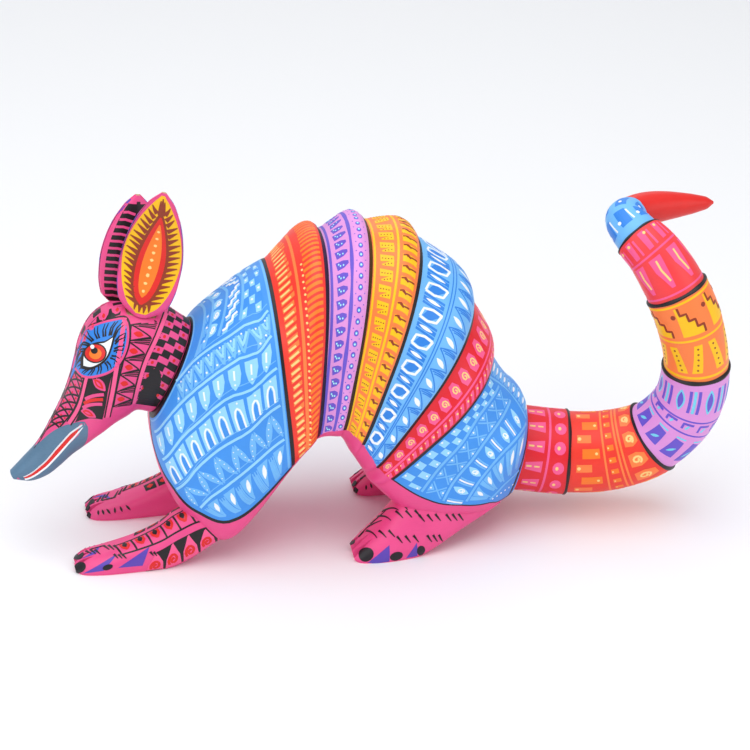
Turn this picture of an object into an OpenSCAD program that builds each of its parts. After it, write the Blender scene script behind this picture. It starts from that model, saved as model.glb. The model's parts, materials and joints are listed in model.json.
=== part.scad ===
// Carved and painted wooden armadillo, glued up from separately carved pieces.
// The ears and the tail are plugged in on round pegs, so they pull out and turn.
// Millimetres. The nose points to -X, the animal's left side is -Y, and +Z is up.

/* [Trunk] */
// Length of the trunk along X, from the lowest point of the neck seat to the top of the tail seat
trunk_l = 148; // [124:1:177]
// Height of the back above the ground
back_h = 128; // [106:1:154]
// Width of the shell at its widest, crests included
shell_w = 76; // [63:1:92]
// How far each carved band swells above the groove in front of it
band_swell = 2.6; // [1:0.1:4]
// Sideways distance from the middle to the centre of each forefoot
foreleg_y = 23; // [20:0.5:27]
// Sideways distance from the middle to the centre of each hind foot
hindleg_y = 29; // [25:0.5:34]
// Width of each leg
leg_w = 18.5; // [16:0.5:22]
// How far the right foreleg is set back from the left one
right_foreleg_back = 7; // [0:0.5:8]
// How far the right hind leg is set back from the left one
right_hindleg_back = 8; // [0:0.5:10]

/* [Head] */
// Length of the head from the neck seat to the nose
head_l = 68; // [56:1:82]
// Width of the skull at the eyes
head_w = 36; // [30:1:44]

/* [Ears] */
// Length of the left ear above its seat
left_ear_l = 51; // [43:0.5:60]
// Length of the right ear above its seat
right_ear_l = 44.5; // [38:0.5:55]
// Width of each ear
ear_w = 24; // [20:0.5:29]
// Thickness of the rim of each ear
ear_rim_t = 1.2; // [0.8:0.1:2]
// Sideways distance from the middle to the seat of the left ear
left_ear_y = 6.5; // [6.5:0.5:10]
// Sideways distance from the middle to the seat of the right ear
right_ear_y = 11; // [9:0.5:12.5]
// Backward lean of the left ear, in degrees
left_ear_lean = 11; // [0:1:20]
// Backward lean of the right ear, in degrees
right_ear_lean = 9; // [0:1:20]
// Outward splay of the left ear, in degrees
left_ear_splay = 5; // [0:1:12]
// Outward splay of the right ear, in degrees
right_ear_splay = 1; // [0:1:12]
// Turn of both ears about their own length, towards the nose, in degrees
ear_facing = 14; // [0:1:30]
// Thickness of the base of each ear, which holds the peg
ear_base_t = 6.4; // [5.6:0.1:8]
// Width of the base of each ear
ear_base_w = 8.4; // [7.6:0.1:10]

/* [Tail] */
// Diameter of the tail at its seat
tail_d = 35; // [29:0.5:40]
// Size of the tail's curl, as its height above the seat
tail_rise = 100; // [84:1:120]
// How far each tail segment swells towards its end
tail_swell = 0.7; // [0.2:0.1:1.5]
// Length of the plain tip
tip_l = 37; // [31:0.5:44]

/* [Pegs and dowels] */
// Diameter of the pegs that hold the ears
ear_peg_d = 2.6; // [2:0.1:3.1]
// Depth of each ear peg in the head
ear_peg_head_l = 9; // [7:0.5:11]
// Depth of each ear peg in its ear
ear_peg_ear_l = 7; // [5.5:0.5:8.5]
// Diameter of the peg that holds the tail
tail_peg_d = 10; // [8:0.5:12]
// Depth of the tail peg in the trunk
tail_peg_trunk_l = 18; // [15:0.5:22]
// Depth of the tail peg in the tail
tail_peg_tail_l = 12; // [10:0.5:14.5]
// Diameter of the neck dowel
neck_dowel_d = 8; // [6:0.5:10]
// Depth of the neck dowel on each side of the joint
neck_dowel_l = 12; // [10:0.5:15]
// Diameter of the leg dowels
leg_dowel_d = 5; // [4:0.5:6]
// Depth of each leg dowel in the trunk
leg_dowel_trunk_l = 11; // [9:0.5:13]
// Depth of each leg dowel in the leg
leg_dowel_leg_l = 7; // [5.5:0.5:8.5]
// Diameter of the dowel in the tail tip
tip_dowel_d = 3; // [2.4:0.1:3.6]
// Depth of the tip dowel on each side of the joint
tip_dowel_l = 6; // [5:0.5:7.5]

/* [Fits] */
// Radial clearance of a peg that turns and pulls out
peg_clear = 0.05; // [0.02:0.01:0.1]
// Radial glue gap round a dowel
glue_gap = 0.05; // [0.02:0.01:0.1]
// Gap left at the bottom of each hole
hole_end_gap = 0.6; // [0.3:0.1:1]
// Gap between a plugged piece and its seat
seat_gap = 0.3; // [0.2:0.05:0.5]

/* [Toes] */
// Width of each carved notch between two toes
toe_notch_w = 3.2; // [2.4:0.1:4]
// Length of each carved notch between two toes
toe_notch_l = 8; // [6:0.5:10]

/* [Hidden] */
$fn = 48;
reach = 200;      // longer than any piece, for cutting blocks
LEFT = -1;        // side of the animal, as a sign of Y
RIGHT = 1;

// Outline of the trunk at a length of 148, a height of 128 and a width of 76. Each row is one
// section across the body: its lowest and highest points [x, z], its half width there, and how
// square its lower half is (2 is an ellipse).
TRUNK = [
    [[-88.5, 54.4], [-71.0, 89.5], 17.0, 3.0],
    [[-88.0, 42.1], [-65.0, 95.0], 24.0, 3.4],
    [[-84.0, 28.6], [-58.0, 100.1], 29.5, 4.4],
    [[-75.5, 16.2], [-51.5, 104.8], 33.0, 6.0],
    [[-60.0, 8.7], [-46.0, 108.4], 35.0, 7.0],
    [[-36.0, 36.0], [-42.5, 110.2], 35.0, 6.0],
    [[-27.0, 46.3], [-21.5, 121.6], 34.8, 5.0],
    [[-18.0, 47.5], [-4.0, 125.2], 34.8, 5.0],
    [[-13.0, 39.5], [16.0, 119.0], 34.6, 5.0],
    [[-8.5, 32.0], [37.0, 94.0], 33.8, 5.0],
    [[-5.4, 27.2], [45.0, 71.5], 33.3, 6.0],
    [[8.0, 15.0], [51.5, 59.5], 33.0, 7.0],
    [[22.0, 11.0], [56.0, 54.0], 31.6, 7.0],
    [[37.0, 9.6], [58.5, 49.4], 27.5, 5.0],
    [[51.0, 10.4], [59.5, 45.4], 19.0, 2.6],
];
// The shell's pieces of ornament: first row, last row, and how strongly each one swells
SHELL_PARTS = [[0, 5, 0.4], [5, 6, 2.1], [6, 7, 1.5], [7, 8, 1.2], [8, 9, 1.5], [9, 10, 1.1], [10, 14, 0.4]];
// Moves the trunk along X so that the middle of the whole figure is over the origin
x0 = 3.2;
// How much of the bands' swell shows at the sides, as a share of the swell on the back
side_swell = 0.6;
kx = trunk_l / 148;
ky = shell_w / 76;
kz = back_h / 128;
function place(p) = [(p[0] + x0) * kx, p[1] * kz];

// Outline of the head, in the side view at a length of 68 and a width of 36, measured from the
// middle of the neck seat. Each row is the lowest point, the highest point and the half width.
HEAD = [
    [[-8.8, -17.7], [8.7, 17.7], 15.0],
    [[-13.8, -16.7], [-0.7, 24.5], 15.6],
    [[-17.3, -18.8], [-10.2, 27.1], 17.0],
    [[-21.8, -21.4], [-20.7, 27.1], 18.0],
    [[-25.8, -24.5], [-29.2, 21.6], 17.6],
    [[-29.3, -27.2], [-34.2, 12.5], 15.6],
    [[-33.3, -30.5], [-37.0, 1.6], 12.2],
    [[-38.3, -34.3], [-40.8, -8.7], 9.2],
    [[-43.3, -39.0], [-45.8, -18.6], 7.2],
    [[-48.3, -42.8], [-51.6, -28.5], 6.0],
    [[-54.6, -44.8], [-58.0, -35.6], 5.2],
    [[-61.0, -43.8], [-62.8, -40.6], 3.4],
];
kh = head_l / 68;
khy = head_w / 36;

// Half outline of an ear from base to tip: [share of the length, share of half the width,
// swell of the back, depth of the hollow]. A negative hollow is a bulge.
EAR = [
    [0.00, 0.336, 0.62, -0.62],
    [0.04, 0.60, 0.62, -0.62],
    [0.10, 0.82, 0.66, -0.60],
    [0.22, 0.95, 0.90, -0.25],
    [0.36, 1.00, 1.10, 0.30],
    [0.50, 0.99, 1.15, 0.55],
    [0.66, 0.87, 1.00, 0.52],
    [0.80, 0.67, 0.75, 0.35],
    [0.92, 0.40, 0.42, 0.12],
    [1.00, 0.08, 0.10, 0.00],
];

// Shares of an ear's length at which its rings stand
EAR_STEPS = [0, 0.04, 0.1, 0.16, 0.22, 0.29, 0.36, 0.43, 0.5, 0.58, 0.66, 0.73, 0.8, 0.86, 0.92, 0.97, 1];

// Centre line of the tail from its seat, at a rise of 100: [x, y, z, share of the base radius]
TAIL = [
    [0, 0, 0, 1.00],
    [20.5, -2.0, -2.6, 0.96],
    [38.0, -5.0, -1.6, 0.92],
    [54.0, -9.0, 5.2, 0.85],
    [65.0, -15.0, 20.6, 0.79],
    [67.0, -20.0, 40.0, 0.75],
    [63.0, -23.0, 58.4, 0.735],
    [57.0, -23.0, 73.1, 0.70],
    [50.0, -19.0, 85.1, 0.63],
    [43.6, -14.0, 92.0, 0.55],
    [40.2, -7.0, 96.0, 0.46],
    [43.4, -1.0, 96.4, 0.39],
];
// Rows of TAIL between which each segment of ornament runs
TAIL_PARTS = [[0, 1], [1, 3], [3, 5], [5, 7], [7, 9], [9, 11]];
// Half outline of the plain tip: [share of the length, share of its radius at the joint]
TIP = [[0, 1], [0.25, 0.98], [0.5, 0.84], [0.75, 0.62], [0.92, 0.40], [1, 0.12]];
kt = tail_rise / 100;

// Outlines of the legs in the side view: lowest point, highest point, share of the leg's width,
// and how far the section is set in towards the body. The soles run below the ground here and are
// cut flat at z = 0.
FORELEG = [
    [[-119.5, -1.0], [-120.4, 2.6], 0.62, 0],
    [[-116.0, -3.0], [-116.2, 5.4], 0.92, 0],
    [[-108.0, -3.5], [-108.0, 7.4], 1.04, 0],
    [[-97.0, -3.5], [-97.5, 10.8], 1.02, 0],
    [[-86.0, -3.0], [-88.0, 15.4], 0.98, 0],
    [[-77.0, 0.4], [-81.0, 20.6], 0.96, 0],
    [[-68.0, 6.0], [-73.0, 23.5], 0.90, 0],
    [[-60.5, 11.0], [-63.5, 21.0], 0.74, 0],
    [[-56.0, 14.0], [-57.0, 17.0], 0.50, 0],
];
HINDLEG = [
    [[-13.0, -0.5], [-13.8, 3.0], 0.68, -0.5],
    [[-9.5, -3.0], [-9.4, 6.8], 0.94, 0],
    [[-1.0, -4.0], [-1.2, 14.0], 1.06, 0],
    [[9.0, -3.0], [8.0, 22.8], 1.02, 0],
    [[19.0, 1.4], [17.0, 24.5], 0.94, 0],
    [[29.0, 6.4], [27.0, 23.5], 0.82, 1.5],
    [[39.0, 10.4], [37.5, 21.5], 0.62, 4],
    [[46.5, 13.4], [46.0, 17.5], 0.40, 6.5],
];
// Two points of the flat joint face between each pair of legs and the trunk
FORE_SEAT = [[-77.0, 20.8], [-57.0, 13.8]];
HIND_SEAT = [[4.0, 20.2], [47.0, 15.4]];
// Where the leg dowels cross those faces, as a share of the way along them
fore_dowel_at = 0.50;
hind_dowel_at = 0.42;
// How far the hind legs lean in towards the body, as millimetres sideways per millimetre up
hind_lean = 0.30;
// The flat pockets for the legs: their inner walls, as distances from the middle, and the ends of
// the hind ones along X
fore_pocket_y = 11.5;
hind_pocket_y = 12;
HIND_POCKET = [-12, 48];
// Where the ears stand, as rows of HEAD
LEFT_EAR_ROW = 2;
RIGHT_EAR_ROW = 2.5;

TRUNK_SIDES = 36;
HEAD_SIDES = 28;
LEG_SIDES = 20;
EAR_SIDES = 24;
TAIL_SIDES = 20;

// ---- Curves and lofts ----

function unit(v) = v / norm(v);
function mean(p) = ([for (q = p) 1] * p) / len(p);
function blend3(a, b, c, d, t) =
    0.5 * (2 * b + (c - a) * t + (2 * a - 5 * b + 4 * c - d) * t * t + (3 * (b - c) + d - a) * t * t * t);

// A smooth curve through the rows of p, at u from 0 to the last row's index
function curve(p, u) =
    let (last = len(p) - 1, i = min(floor(u), last - 1), b = p[i], c = p[i + 1],
        a = i > 0 ? p[i - 1] : 2 * b - c, d = i < last - 1 ? p[i + 2] : 2 * c - b)
    blend3(a, b, c, d, u - i);

// The same curve for rows that start with the place along the piece, at place t
function curve_at(p, t, i = 0) =
    i < len(p) - 2 && t > p[i + 1][0] ? curve_at(p, t, i + 1)
    : curve(p, i + (t - p[i][0]) / (p[i + 1][0] - p[i][0]));

// Rows [low, high, other values] as plain vectors, which the curve can blend
function flat_rows(rows) = [for (r = rows) [each r[0], each r[1], for (k = [2:len(r) - 1]) r[k]]];

// A closed ring across a piece: low and high are its ends in the XZ plane, and w its half width.
// The two exponents say how square it is below and above its middle.
function ring(low, high, w, low_n, high_n, sides, y = 0) =
    let (m = (low + high) / 2, h = (high - low) / 2)
    [for (k = [0:sides - 1])
        let (a = 360 * k / sides, n = cos(a) < 0 ? low_n : high_n,
            r = sign(cos(a)) * pow(abs(cos(a)), 2 / n), s = sign(sin(a)) * pow(abs(sin(a)), 2 / n))
        [m[0] + h[0] * r, y + w * s, m[1] + h[1] * r]];

// A solid through rings that all have the same number of points. Its faces are turned outwards
// whichever way round the rings run.
module loft(rings) {
    m = len(rings[0]);
    n = len(rings);
    ends = [mean(rings[0]), mean(rings[n - 1])];
    way = cross(rings[0][0] - ends[0], rings[0][floor(m / 4)] - ends[0]) * (mean(rings[1]) - ends[0]);
    sides = [for (i = [0:n - 2], j = [0:m - 1])
        let (a = i * m + j, b = i * m + (j + 1) % m) each [[a, b, b + m], [a, b + m, a + m]]];
    start_cap = [for (j = [0:m - 1]) [n * m, (j + 1) % m, j]];
    end_cap = [for (j = [0:m - 1]) [n * m + 1, (n - 1) * m + j, (n - 1) * m + (j + 1) % m]];
    polyhedron(
        points = concat([for (r = rings) each r], ends),
        faces = [for (f = concat(sides, start_cap, end_cap)) way < 0 ? f : [f[0], f[2], f[1]]]);
}

// Puts the children's Z axis along the XZ-plane direction d, at the point [x, z] and at y
module stand(p, d, y = 0)
    translate([p[0], y, p[1]])
        rotate([0, atan2(d[0], d[1]), 0])
            children();

// ---- Trunk ----

// How far a band stands proud at t from its front edge to its back edge
function swell(t) = sin(155 * pow(t, 1.9));

function trunk_ring(u, proud) =
    let (s = curve(flat_rows(TRUNK), u), low = place([s[0], s[1]]), high = place([s[2], s[3]]))
    ring(low, high + unit(high - low) * proud, s[4] * ky + side_swell * proud, s[5], 2.15, TRUNK_SIDES);

// The first ring of each part after the first is left just off the last one, as a carved step
trunk_rings = [for (k = [0:len(SHELL_PARTS) - 1])
    let (p = SHELL_PARTS[k], steps = (p[1] - p[0] == 1) ? 5 : 2 * (p[1] - p[0]) + 3)
    for (i = [0:steps])
        let (t = i / steps, lead = k > 0 && i == 0 ? 0.03 : 0,
            seat = (k == 0 && i == 0) || (k == len(SHELL_PARTS) - 1 && i == steps))
        trunk_ring(p[0] + (p[1] - p[0]) * t + lead, seat ? 0 : band_swell * p[2] * swell(t))];

neck_low = place(TRUNK[0][0]);
neck_high = place(TRUNK[0][1]);
neck_mid = (neck_low + neck_high) / 2;
neck_dir = unit([neck_low[1] - neck_high[1], neck_high[0] - neck_low[0]]);
tail_low = place(TRUNK[14][0]);
tail_high = place(TRUNK[14][1]);
tail_mid = (tail_low + tail_high) / 2;
tail_dir = unit([tail_high[1] - tail_low[1], tail_low[0] - tail_high[0]]);

// Each leg: outline, joint face, place of its dowel, side, distance from the middle, lean, set-back,
// inner wall of its pocket, and the ends of the pocket along X
FORELEGS = [for (k = [[LEFT, 0], [RIGHT, right_foreleg_back]])
    [FORELEG, FORE_SEAT, fore_dowel_at, k[0], foreleg_y, 0, k[1], fore_pocket_y, [-reach, 0]]];
HINDLEGS = [for (k = [[LEFT, 0], [RIGHT, right_hindleg_back]])
    [HINDLEG, HIND_SEAT, hind_dowel_at, k[0], hindleg_y, hind_lean, k[1], hind_pocket_y, HIND_POCKET]];

function leg_seat(leg) = [for (p = leg[1]) place(p) + [leg[6], 0]];
function leg_seat_dir(leg) = let (q = leg_seat(leg), d = unit(q[1] - q[0])) [-d[1], d[0]];
function leg_dowel_at(leg) = let (q = leg_seat(leg)) q[0] + (q[1] - q[0]) * leg[2];
function leg_y_at(leg, z) = leg[3] * (leg[4] - leg[5] * z);

// Everything above a leg's joint face, or below it with way = -1
module seat_block(leg, way)
    stand(leg_dowel_at(leg), leg_seat_dir(leg))
        translate([-reach / 2, -reach / 2, way > 0 ? 0 : -reach])
            cube(reach);

// The wood cut off the trunk to make the flat face a leg is glued to
module leg_pocket(leg)
    intersection() {
        seat_block(leg, -1);
        translate([place([leg[8][0], 0])[0] + leg[6], leg[3] > 0 ? leg[7] : -leg[7] - reach, -reach / 2])
            cube([(leg[8][1] - leg[8][0]) * kx, reach, reach]);
    }

// The hole or the wood of a dowel across a joint: depth above and below the face, along +Z
module dowel_shape(d, above, below, gap_r = 0, gap_l = 0)
    translate([0, 0, -below - gap_l])
        cylinder(d = d + 2 * gap_r, h = above + below + 2 * gap_l);

module leg_dowel(leg, gap_r = 0, gap_l = 0)
    stand(leg_dowel_at(leg), leg_seat_dir(leg), leg_y_at(leg, leg_dowel_at(leg)[1]))
        dowel_shape(leg_dowel_d, leg_dowel_trunk_l, leg_dowel_leg_l, gap_r, gap_l);

module neck_dowel_shape(gap_r = 0, gap_l = 0)
    stand(neck_mid, neck_dir)
        dowel_shape(neck_dowel_d, neck_dowel_l, neck_dowel_l, gap_r, gap_l);

module tail_peg_shape(gap_r = 0, gap_l = 0)
    stand(tail_mid, tail_dir)
        dowel_shape(tail_peg_d, tail_peg_tail_l, tail_peg_trunk_l, gap_r, gap_l);

module trunk()
    color("hotpink")
        difference() {
            loft(trunk_rings);
            for (leg = concat(FORELEGS, HINDLEGS)) {
                leg_pocket(leg);
                leg_dowel(leg, glue_gap, hole_end_gap);
            }
            neck_dowel_shape(glue_gap, hole_end_gap);
            tail_peg_shape(peg_clear, hole_end_gap);
        }

// ---- Legs ----

function leg_ring(leg, u) =
    let (s = curve(flat_rows(leg[0]), u))
    [for (p = ring(place([s[0], s[1]]), place([s[2], s[3]]), s[4] * leg_w / 2, 2.4, 2.4, LEG_SIDES))
        [p[0] + leg[6], p[1] + leg_y_at(leg, p[2]) - leg[3] * s[5], p[2]]];

// The notch between two toes, narrowing from the tip of the foot towards +X
module toe_notch(tip, y, turn)
    translate([tip, y, -1])
        rotate(turn)
            linear_extrude(reach)
                polygon([[-1, -toe_notch_w * 0.6], [toe_notch_l, 0], [-1, toe_notch_w * 0.6]]);

module leg(leg)
    color("hotpink")
        difference() {
            loft([for (u = [0:0.5:len(leg[0]) - 1]) leg_ring(leg, u)]);
            translate([-reach, -reach / 2, -reach])
                cube([2 * reach, reach, reach]);
            seat_block(leg, 1);
            leg_dowel(leg, glue_gap, hole_end_gap);
            for (k = [-1:1])
                toe_notch(place(leg[0][0][1])[0] + leg[6], leg[3] * leg[4] + k * leg_w * 0.24, k * -6);
        }

// ---- Head ----

function head_ring(u) =
    let (s = curve(flat_rows(HEAD), u))
    ring(neck_mid + kh * [s[0], s[1]], neck_mid + kh * [s[2], s[3]], s[4] * khy, 2.3, 2.1, HEAD_SIDES);

// The ears stand on the head's own surface. Each ear: side, row of HEAD, distance from the middle,
// lean, splay, length
EARS = [[LEFT, LEFT_EAR_ROW, left_ear_y, left_ear_lean, left_ear_splay, left_ear_l],
    [RIGHT, RIGHT_EAR_ROW, right_ear_y, right_ear_lean, right_ear_splay, right_ear_l]];
function ear_seat(ear) =
    let (s = curve(flat_rows(HEAD), ear[1]),
        low = neck_mid + kh * [s[0], s[1]],
        high = neck_mid + kh * [s[2], s[3]],
        up = pow(1 - pow(ear[2] / (s[4] * khy), 2.1), 1 / 2.1),
        q = (low + high) / 2 + (high - low) / 2 * up)
    [q[0], ear[0] * ear[2], q[1]];
ear_seat_depth = 1.4;
ear_seat_d = ear_base_w + 2.4;
// The wall of the seat slopes outwards at 45 degrees, to clear the ear as it widens and turns
ear_seat_wall_h = ear_w / 2;

// Puts the children's Z axis along an ear, with Z = 0 on the floor of its seat
module ear_place(ear)
    translate(ear_seat(ear) - [0, 0, ear_seat_depth])
        rotate([-ear[0] * ear[4], ear[3], 0])
            children();

module ear_peg_shape(gap_r = 0, gap_l = 0)
    dowel_shape(ear_peg_d, ear_peg_ear_l + seat_gap, ear_peg_head_l, gap_r, gap_l);

module head()
    color("hotpink")
        difference() {
            loft([for (u = [0:0.5:len(HEAD) - 1]) head_ring(u)]);
            neck_dowel_shape(glue_gap, hole_end_gap);
            for (ear = EARS)
                ear_place(ear) {
                    cylinder(d1 = ear_seat_d, d2 = ear_seat_d + 2 * ear_seat_wall_h, h = ear_seat_wall_h);
                    ear_peg_shape(peg_clear, hole_end_gap);
                }
        }

// ---- Ears ----

// One ring of an ear: hollow side towards -Y, back towards +Y
function ear_ring(t, length) =
    let (s = curve_at(EAR, t), w = s[1] * ear_w / 2, depth = (ear_base_t - ear_rim_t) / 2 / EAR[0][2])
    [for (k = [0:EAR_SIDES - 1])
        let (a = 360 * k / EAR_SIDES, f = abs(sin(a)),
            y = sin(a) >= 0 ? ear_rim_t / 2 + s[2] * depth * f : -ear_rim_t / 2 + s[3] * depth * f)
        [w * cos(a), y, t * length]];

module ear(ear)
    color("gold")
        ear_place(ear)
            difference() {
                translate([0, 0, seat_gap])
                    rotate([0, 0, ear[0] > 0 ? 180 + ear_facing : -ear_facing])
                        loft([for (t = EAR_STEPS) ear_ring(t, ear[5])]);
                ear_peg_shape(peg_clear, hole_end_gap);
            }

// ---- Tail ----

tail_start = [tail_mid[0], 0, tail_mid[1]];
tail_out = [tail_dir[0], 0, tail_dir[1]];
function tail_row(u) = curve(TAIL, u);
function tail_point(u) = let (s = tail_row(u)) tail_start + tail_out * seat_gap + kt * [s[0], s[1], s[2]];
function tail_radius(u) = tail_row(u)[3] * tail_d / 2;
tail_end = len(TAIL) - 1;

// Unit directions carried along the curve, so that the rings don't twist about it
function carried(dirs, e, i = 0) =
    i == len(dirs) ? [] : let (f = unit(e - (e * dirs[i]) * dirs[i])) concat([f], carried(dirs, f, i + 1));

function tube_ring(p, dir, side_dir, r, sides) =
    let (other = cross(dir, side_dir))
    [for (k = [0:sides - 1]) p + r * (cos(360 * k / sides) * side_dir + sin(360 * k / sides) * other)];

tail_steps = [for (part = TAIL_PARTS)
    let (n = 5 * (part[1] - part[0]))
    for (i = [0:n]) let (t = i / n) [part[0] + (part[1] - part[0]) * t + (i == 0 && part[0] > 0 ? 0.03 : 0),
        part[0] == 0 && i == 0 ? 0 : tail_swell * (t - 0.5)]];
function tail_way(u) = unit(tail_point(min(u + 0.02, tail_end)) - tail_point(u - 0.02));
tail_dirs = [for (s = tail_steps) s[0] == 0 ? tail_out : tail_way(s[0])];
tail_sides = carried(tail_dirs, [0, 1, 0]);

// The tip is glued across the end of the tail and points back to +X
tip_at = tail_point(tail_end);
tip_joint_dir = tail_dirs[len(tail_dirs) - 1];
tip_r = tail_radius(tail_end);
TIP_DIRS = [
    [0.80, 0.58, 0.05],
    [0.92, 0.38, 0.0],
    [0.96, 0.26, -0.04],
    [0.98, 0.18, -0.05],
    [0.98, 0.16, -0.05],
];

module at_tip_joint()
    translate(tip_at)
        rotate([0, acos(tip_joint_dir[2]), atan2(tip_joint_dir[1], tip_joint_dir[0])])
            children();

module tail_tip_dowel_shape(gap_r = 0, gap_l = 0)
    at_tip_joint()
        dowel_shape(tip_dowel_d, tip_dowel_l, tip_dowel_l, gap_r, gap_l);

module tail()
    color("orangered")
        difference() {
            loft([for (i = [0:len(tail_steps) - 1])
                tube_ring(tail_point(tail_steps[i][0]), tail_dirs[i], tail_sides[i],
                    tail_radius(tail_steps[i][0]) + tail_steps[i][1], TAIL_SIDES)]);
            tail_peg_shape(peg_clear, hole_end_gap);
            tail_tip_dowel_shape(glue_gap, hole_end_gap);
        }

tip_step_n = 8;
tip_step = tip_l / tip_step_n;
function tip_dir(i) = i == 0 ? tip_joint_dir : unit(curve(TIP_DIRS, min(i / tip_step_n * 5, 4)));
function tip_point(i) = i == 0 ? tip_at : tip_point(i - 1) + tip_dir(i - 0.5) * tip_step;
tip_dirs = [for (i = [0:tip_step_n]) tip_dir(i)];
tip_sides = carried(tip_dirs, tail_sides[len(tail_sides) - 1]);

module tail_tip()
    color("red")
        difference() {
            loft([for (i = [0:tip_step_n])
                tube_ring(tip_point(i), tip_dirs[i], tip_sides[i],
                    tip_r * curve_at(TIP, i / tip_step_n)[1], TAIL_SIDES)]);
            tail_tip_dowel_shape(glue_gap, hole_end_gap);
        }

// ---- Pegs and dowels ----

module ear_peg(ear) color("burlywood") ear_place(ear) ear_peg_shape();
module glued_leg_dowel(leg) color("burlywood") leg_dowel(leg);

trunk();
head();
leg(FORELEGS[0]);  // foreleg_left
leg(FORELEGS[1]);  // foreleg_right
leg(HINDLEGS[0]);  // hindleg_left
leg(HINDLEGS[1]);  // hindleg_right
ear(EARS[0]);  // ear_left
ear(EARS[1]);  // ear_right
tail();
tail_tip();
color("burlywood") neck_dowel_shape();  // neck_dowel
glued_leg_dowel(FORELEGS[0]);  // foreleg_dowel_left
glued_leg_dowel(FORELEGS[1]);  // foreleg_dowel_right
glued_leg_dowel(HINDLEGS[0]);  // hindleg_dowel_left
glued_leg_dowel(HINDLEGS[1]);  // hindleg_dowel_right
ear_peg(EARS[0]);  // ear_peg_left
ear_peg(EARS[1]);  // ear_peg_right
color("burlywood") tail_peg_shape();  // tail_peg
color("burlywood") tail_tip_dowel_shape();  // tail_tip_dowel
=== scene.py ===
"""A carved and painted wooden armadillo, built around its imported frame.

The figure's surfaces are lofted through the same outline sections as the part's source, and the
brushwork is laid on them as thin strokes of paint, row by row, as a painter would do it.
"""

import math
import random

import bpy
import numpy as np
from mathutils import Matrix, Vector
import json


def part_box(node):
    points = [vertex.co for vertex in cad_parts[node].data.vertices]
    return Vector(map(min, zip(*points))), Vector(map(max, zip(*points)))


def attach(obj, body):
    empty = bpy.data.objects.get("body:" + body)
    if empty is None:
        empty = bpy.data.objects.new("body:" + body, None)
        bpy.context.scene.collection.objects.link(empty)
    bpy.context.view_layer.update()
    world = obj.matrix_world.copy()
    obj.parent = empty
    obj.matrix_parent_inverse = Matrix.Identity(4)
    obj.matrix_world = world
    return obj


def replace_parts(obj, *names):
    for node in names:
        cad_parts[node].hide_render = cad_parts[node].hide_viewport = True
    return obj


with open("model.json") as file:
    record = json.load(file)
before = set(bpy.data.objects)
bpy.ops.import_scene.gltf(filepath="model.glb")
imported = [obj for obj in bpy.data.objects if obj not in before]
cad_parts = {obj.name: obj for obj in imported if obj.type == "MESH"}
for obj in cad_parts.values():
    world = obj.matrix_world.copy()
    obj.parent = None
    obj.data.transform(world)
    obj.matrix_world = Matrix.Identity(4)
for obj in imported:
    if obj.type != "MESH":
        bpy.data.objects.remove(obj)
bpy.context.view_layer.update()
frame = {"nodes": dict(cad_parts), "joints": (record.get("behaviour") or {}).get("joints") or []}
joints = {j["name"]: j for j in frame["joints"]}

MM = 0.001
LEFT, RIGHT = -1, 1
PAINT_BASE = -0.28      # depth of the primed wood below the frame's own surface, mm
EAR_PAINT_BASE = -0.20  # the same on the thin ears
COAT_STEP = 0.07        # thickness of one coat of paint, mm
COAT_SINK = 0.12        # how far a stroke reaches into the wood under it, mm
GROUND = 0.02           # the lowest that paint reaches above the table, mm


def box_mm(node):
    low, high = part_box(node)
    return np.array(low) / MM, np.array(high) / MM


# ------------------------------------------------------------
# Outline sections, in millimetres
# ------------------------------------------------------------

# Trunk: lowest point x, z, highest point x, z, half width, squareness of the lower half
TRUNK = [
    [-88.5, 54.4, -71.0, 89.5, 17.0, 3.0],
    [-88.0, 42.1, -65.0, 95.0, 24.0, 3.4],
    [-84.0, 28.6, -58.0, 100.1, 29.5, 4.4],
    [-75.5, 16.2, -51.5, 104.8, 33.0, 6.0],
    [-60.0, 8.7, -46.0, 108.4, 35.0, 7.0],
    [-36.0, 36.0, -42.5, 110.2, 35.0, 6.0],
    [-27.0, 46.3, -21.5, 121.6, 34.8, 5.0],
    [-18.0, 47.5, -4.0, 125.2, 34.8, 5.0],
    [-13.0, 39.5, 16.0, 119.0, 34.6, 5.0],
    [-8.5, 32.0, 37.0, 94.0, 33.8, 5.0],
    [-5.4, 27.2, 45.0, 71.5, 33.3, 6.0],
    [8.0, 15.0, 51.5, 59.5, 33.0, 7.0],
    [22.0, 11.0, 56.0, 54.0, 31.6, 7.0],
    [37.0, 9.6, 58.5, 49.4, 27.5, 5.0],
    [51.0, 10.4, 59.5, 45.4, 19.0, 2.6],
]
TRUNK_SIZE = (148.0, 76.08, 129.0)
# First row, last row and swell of each part of the shell
SHELL_PARTS = [(0, 5, 0.4), (5, 6, 2.1), (6, 7, 1.5), (7, 8, 1.2), (8, 9, 1.5), (9, 10, 1.1), (10, 14, 0.4)]
BAND_SWELL = 2.6
SIDE_SWELL = 0.6
TRUNK_SHIFT = 3.2
# Share of the half girth at which the shell's ornament stops, row by row
SHELL_EDGE = [0.93, 0.85, 0.775, 0.745, 0.715, 0.735, 0.735, 0.725, 0.72, 0.725, 0.68, 0.640, 0.625,
              0.628, 0.72]

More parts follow.
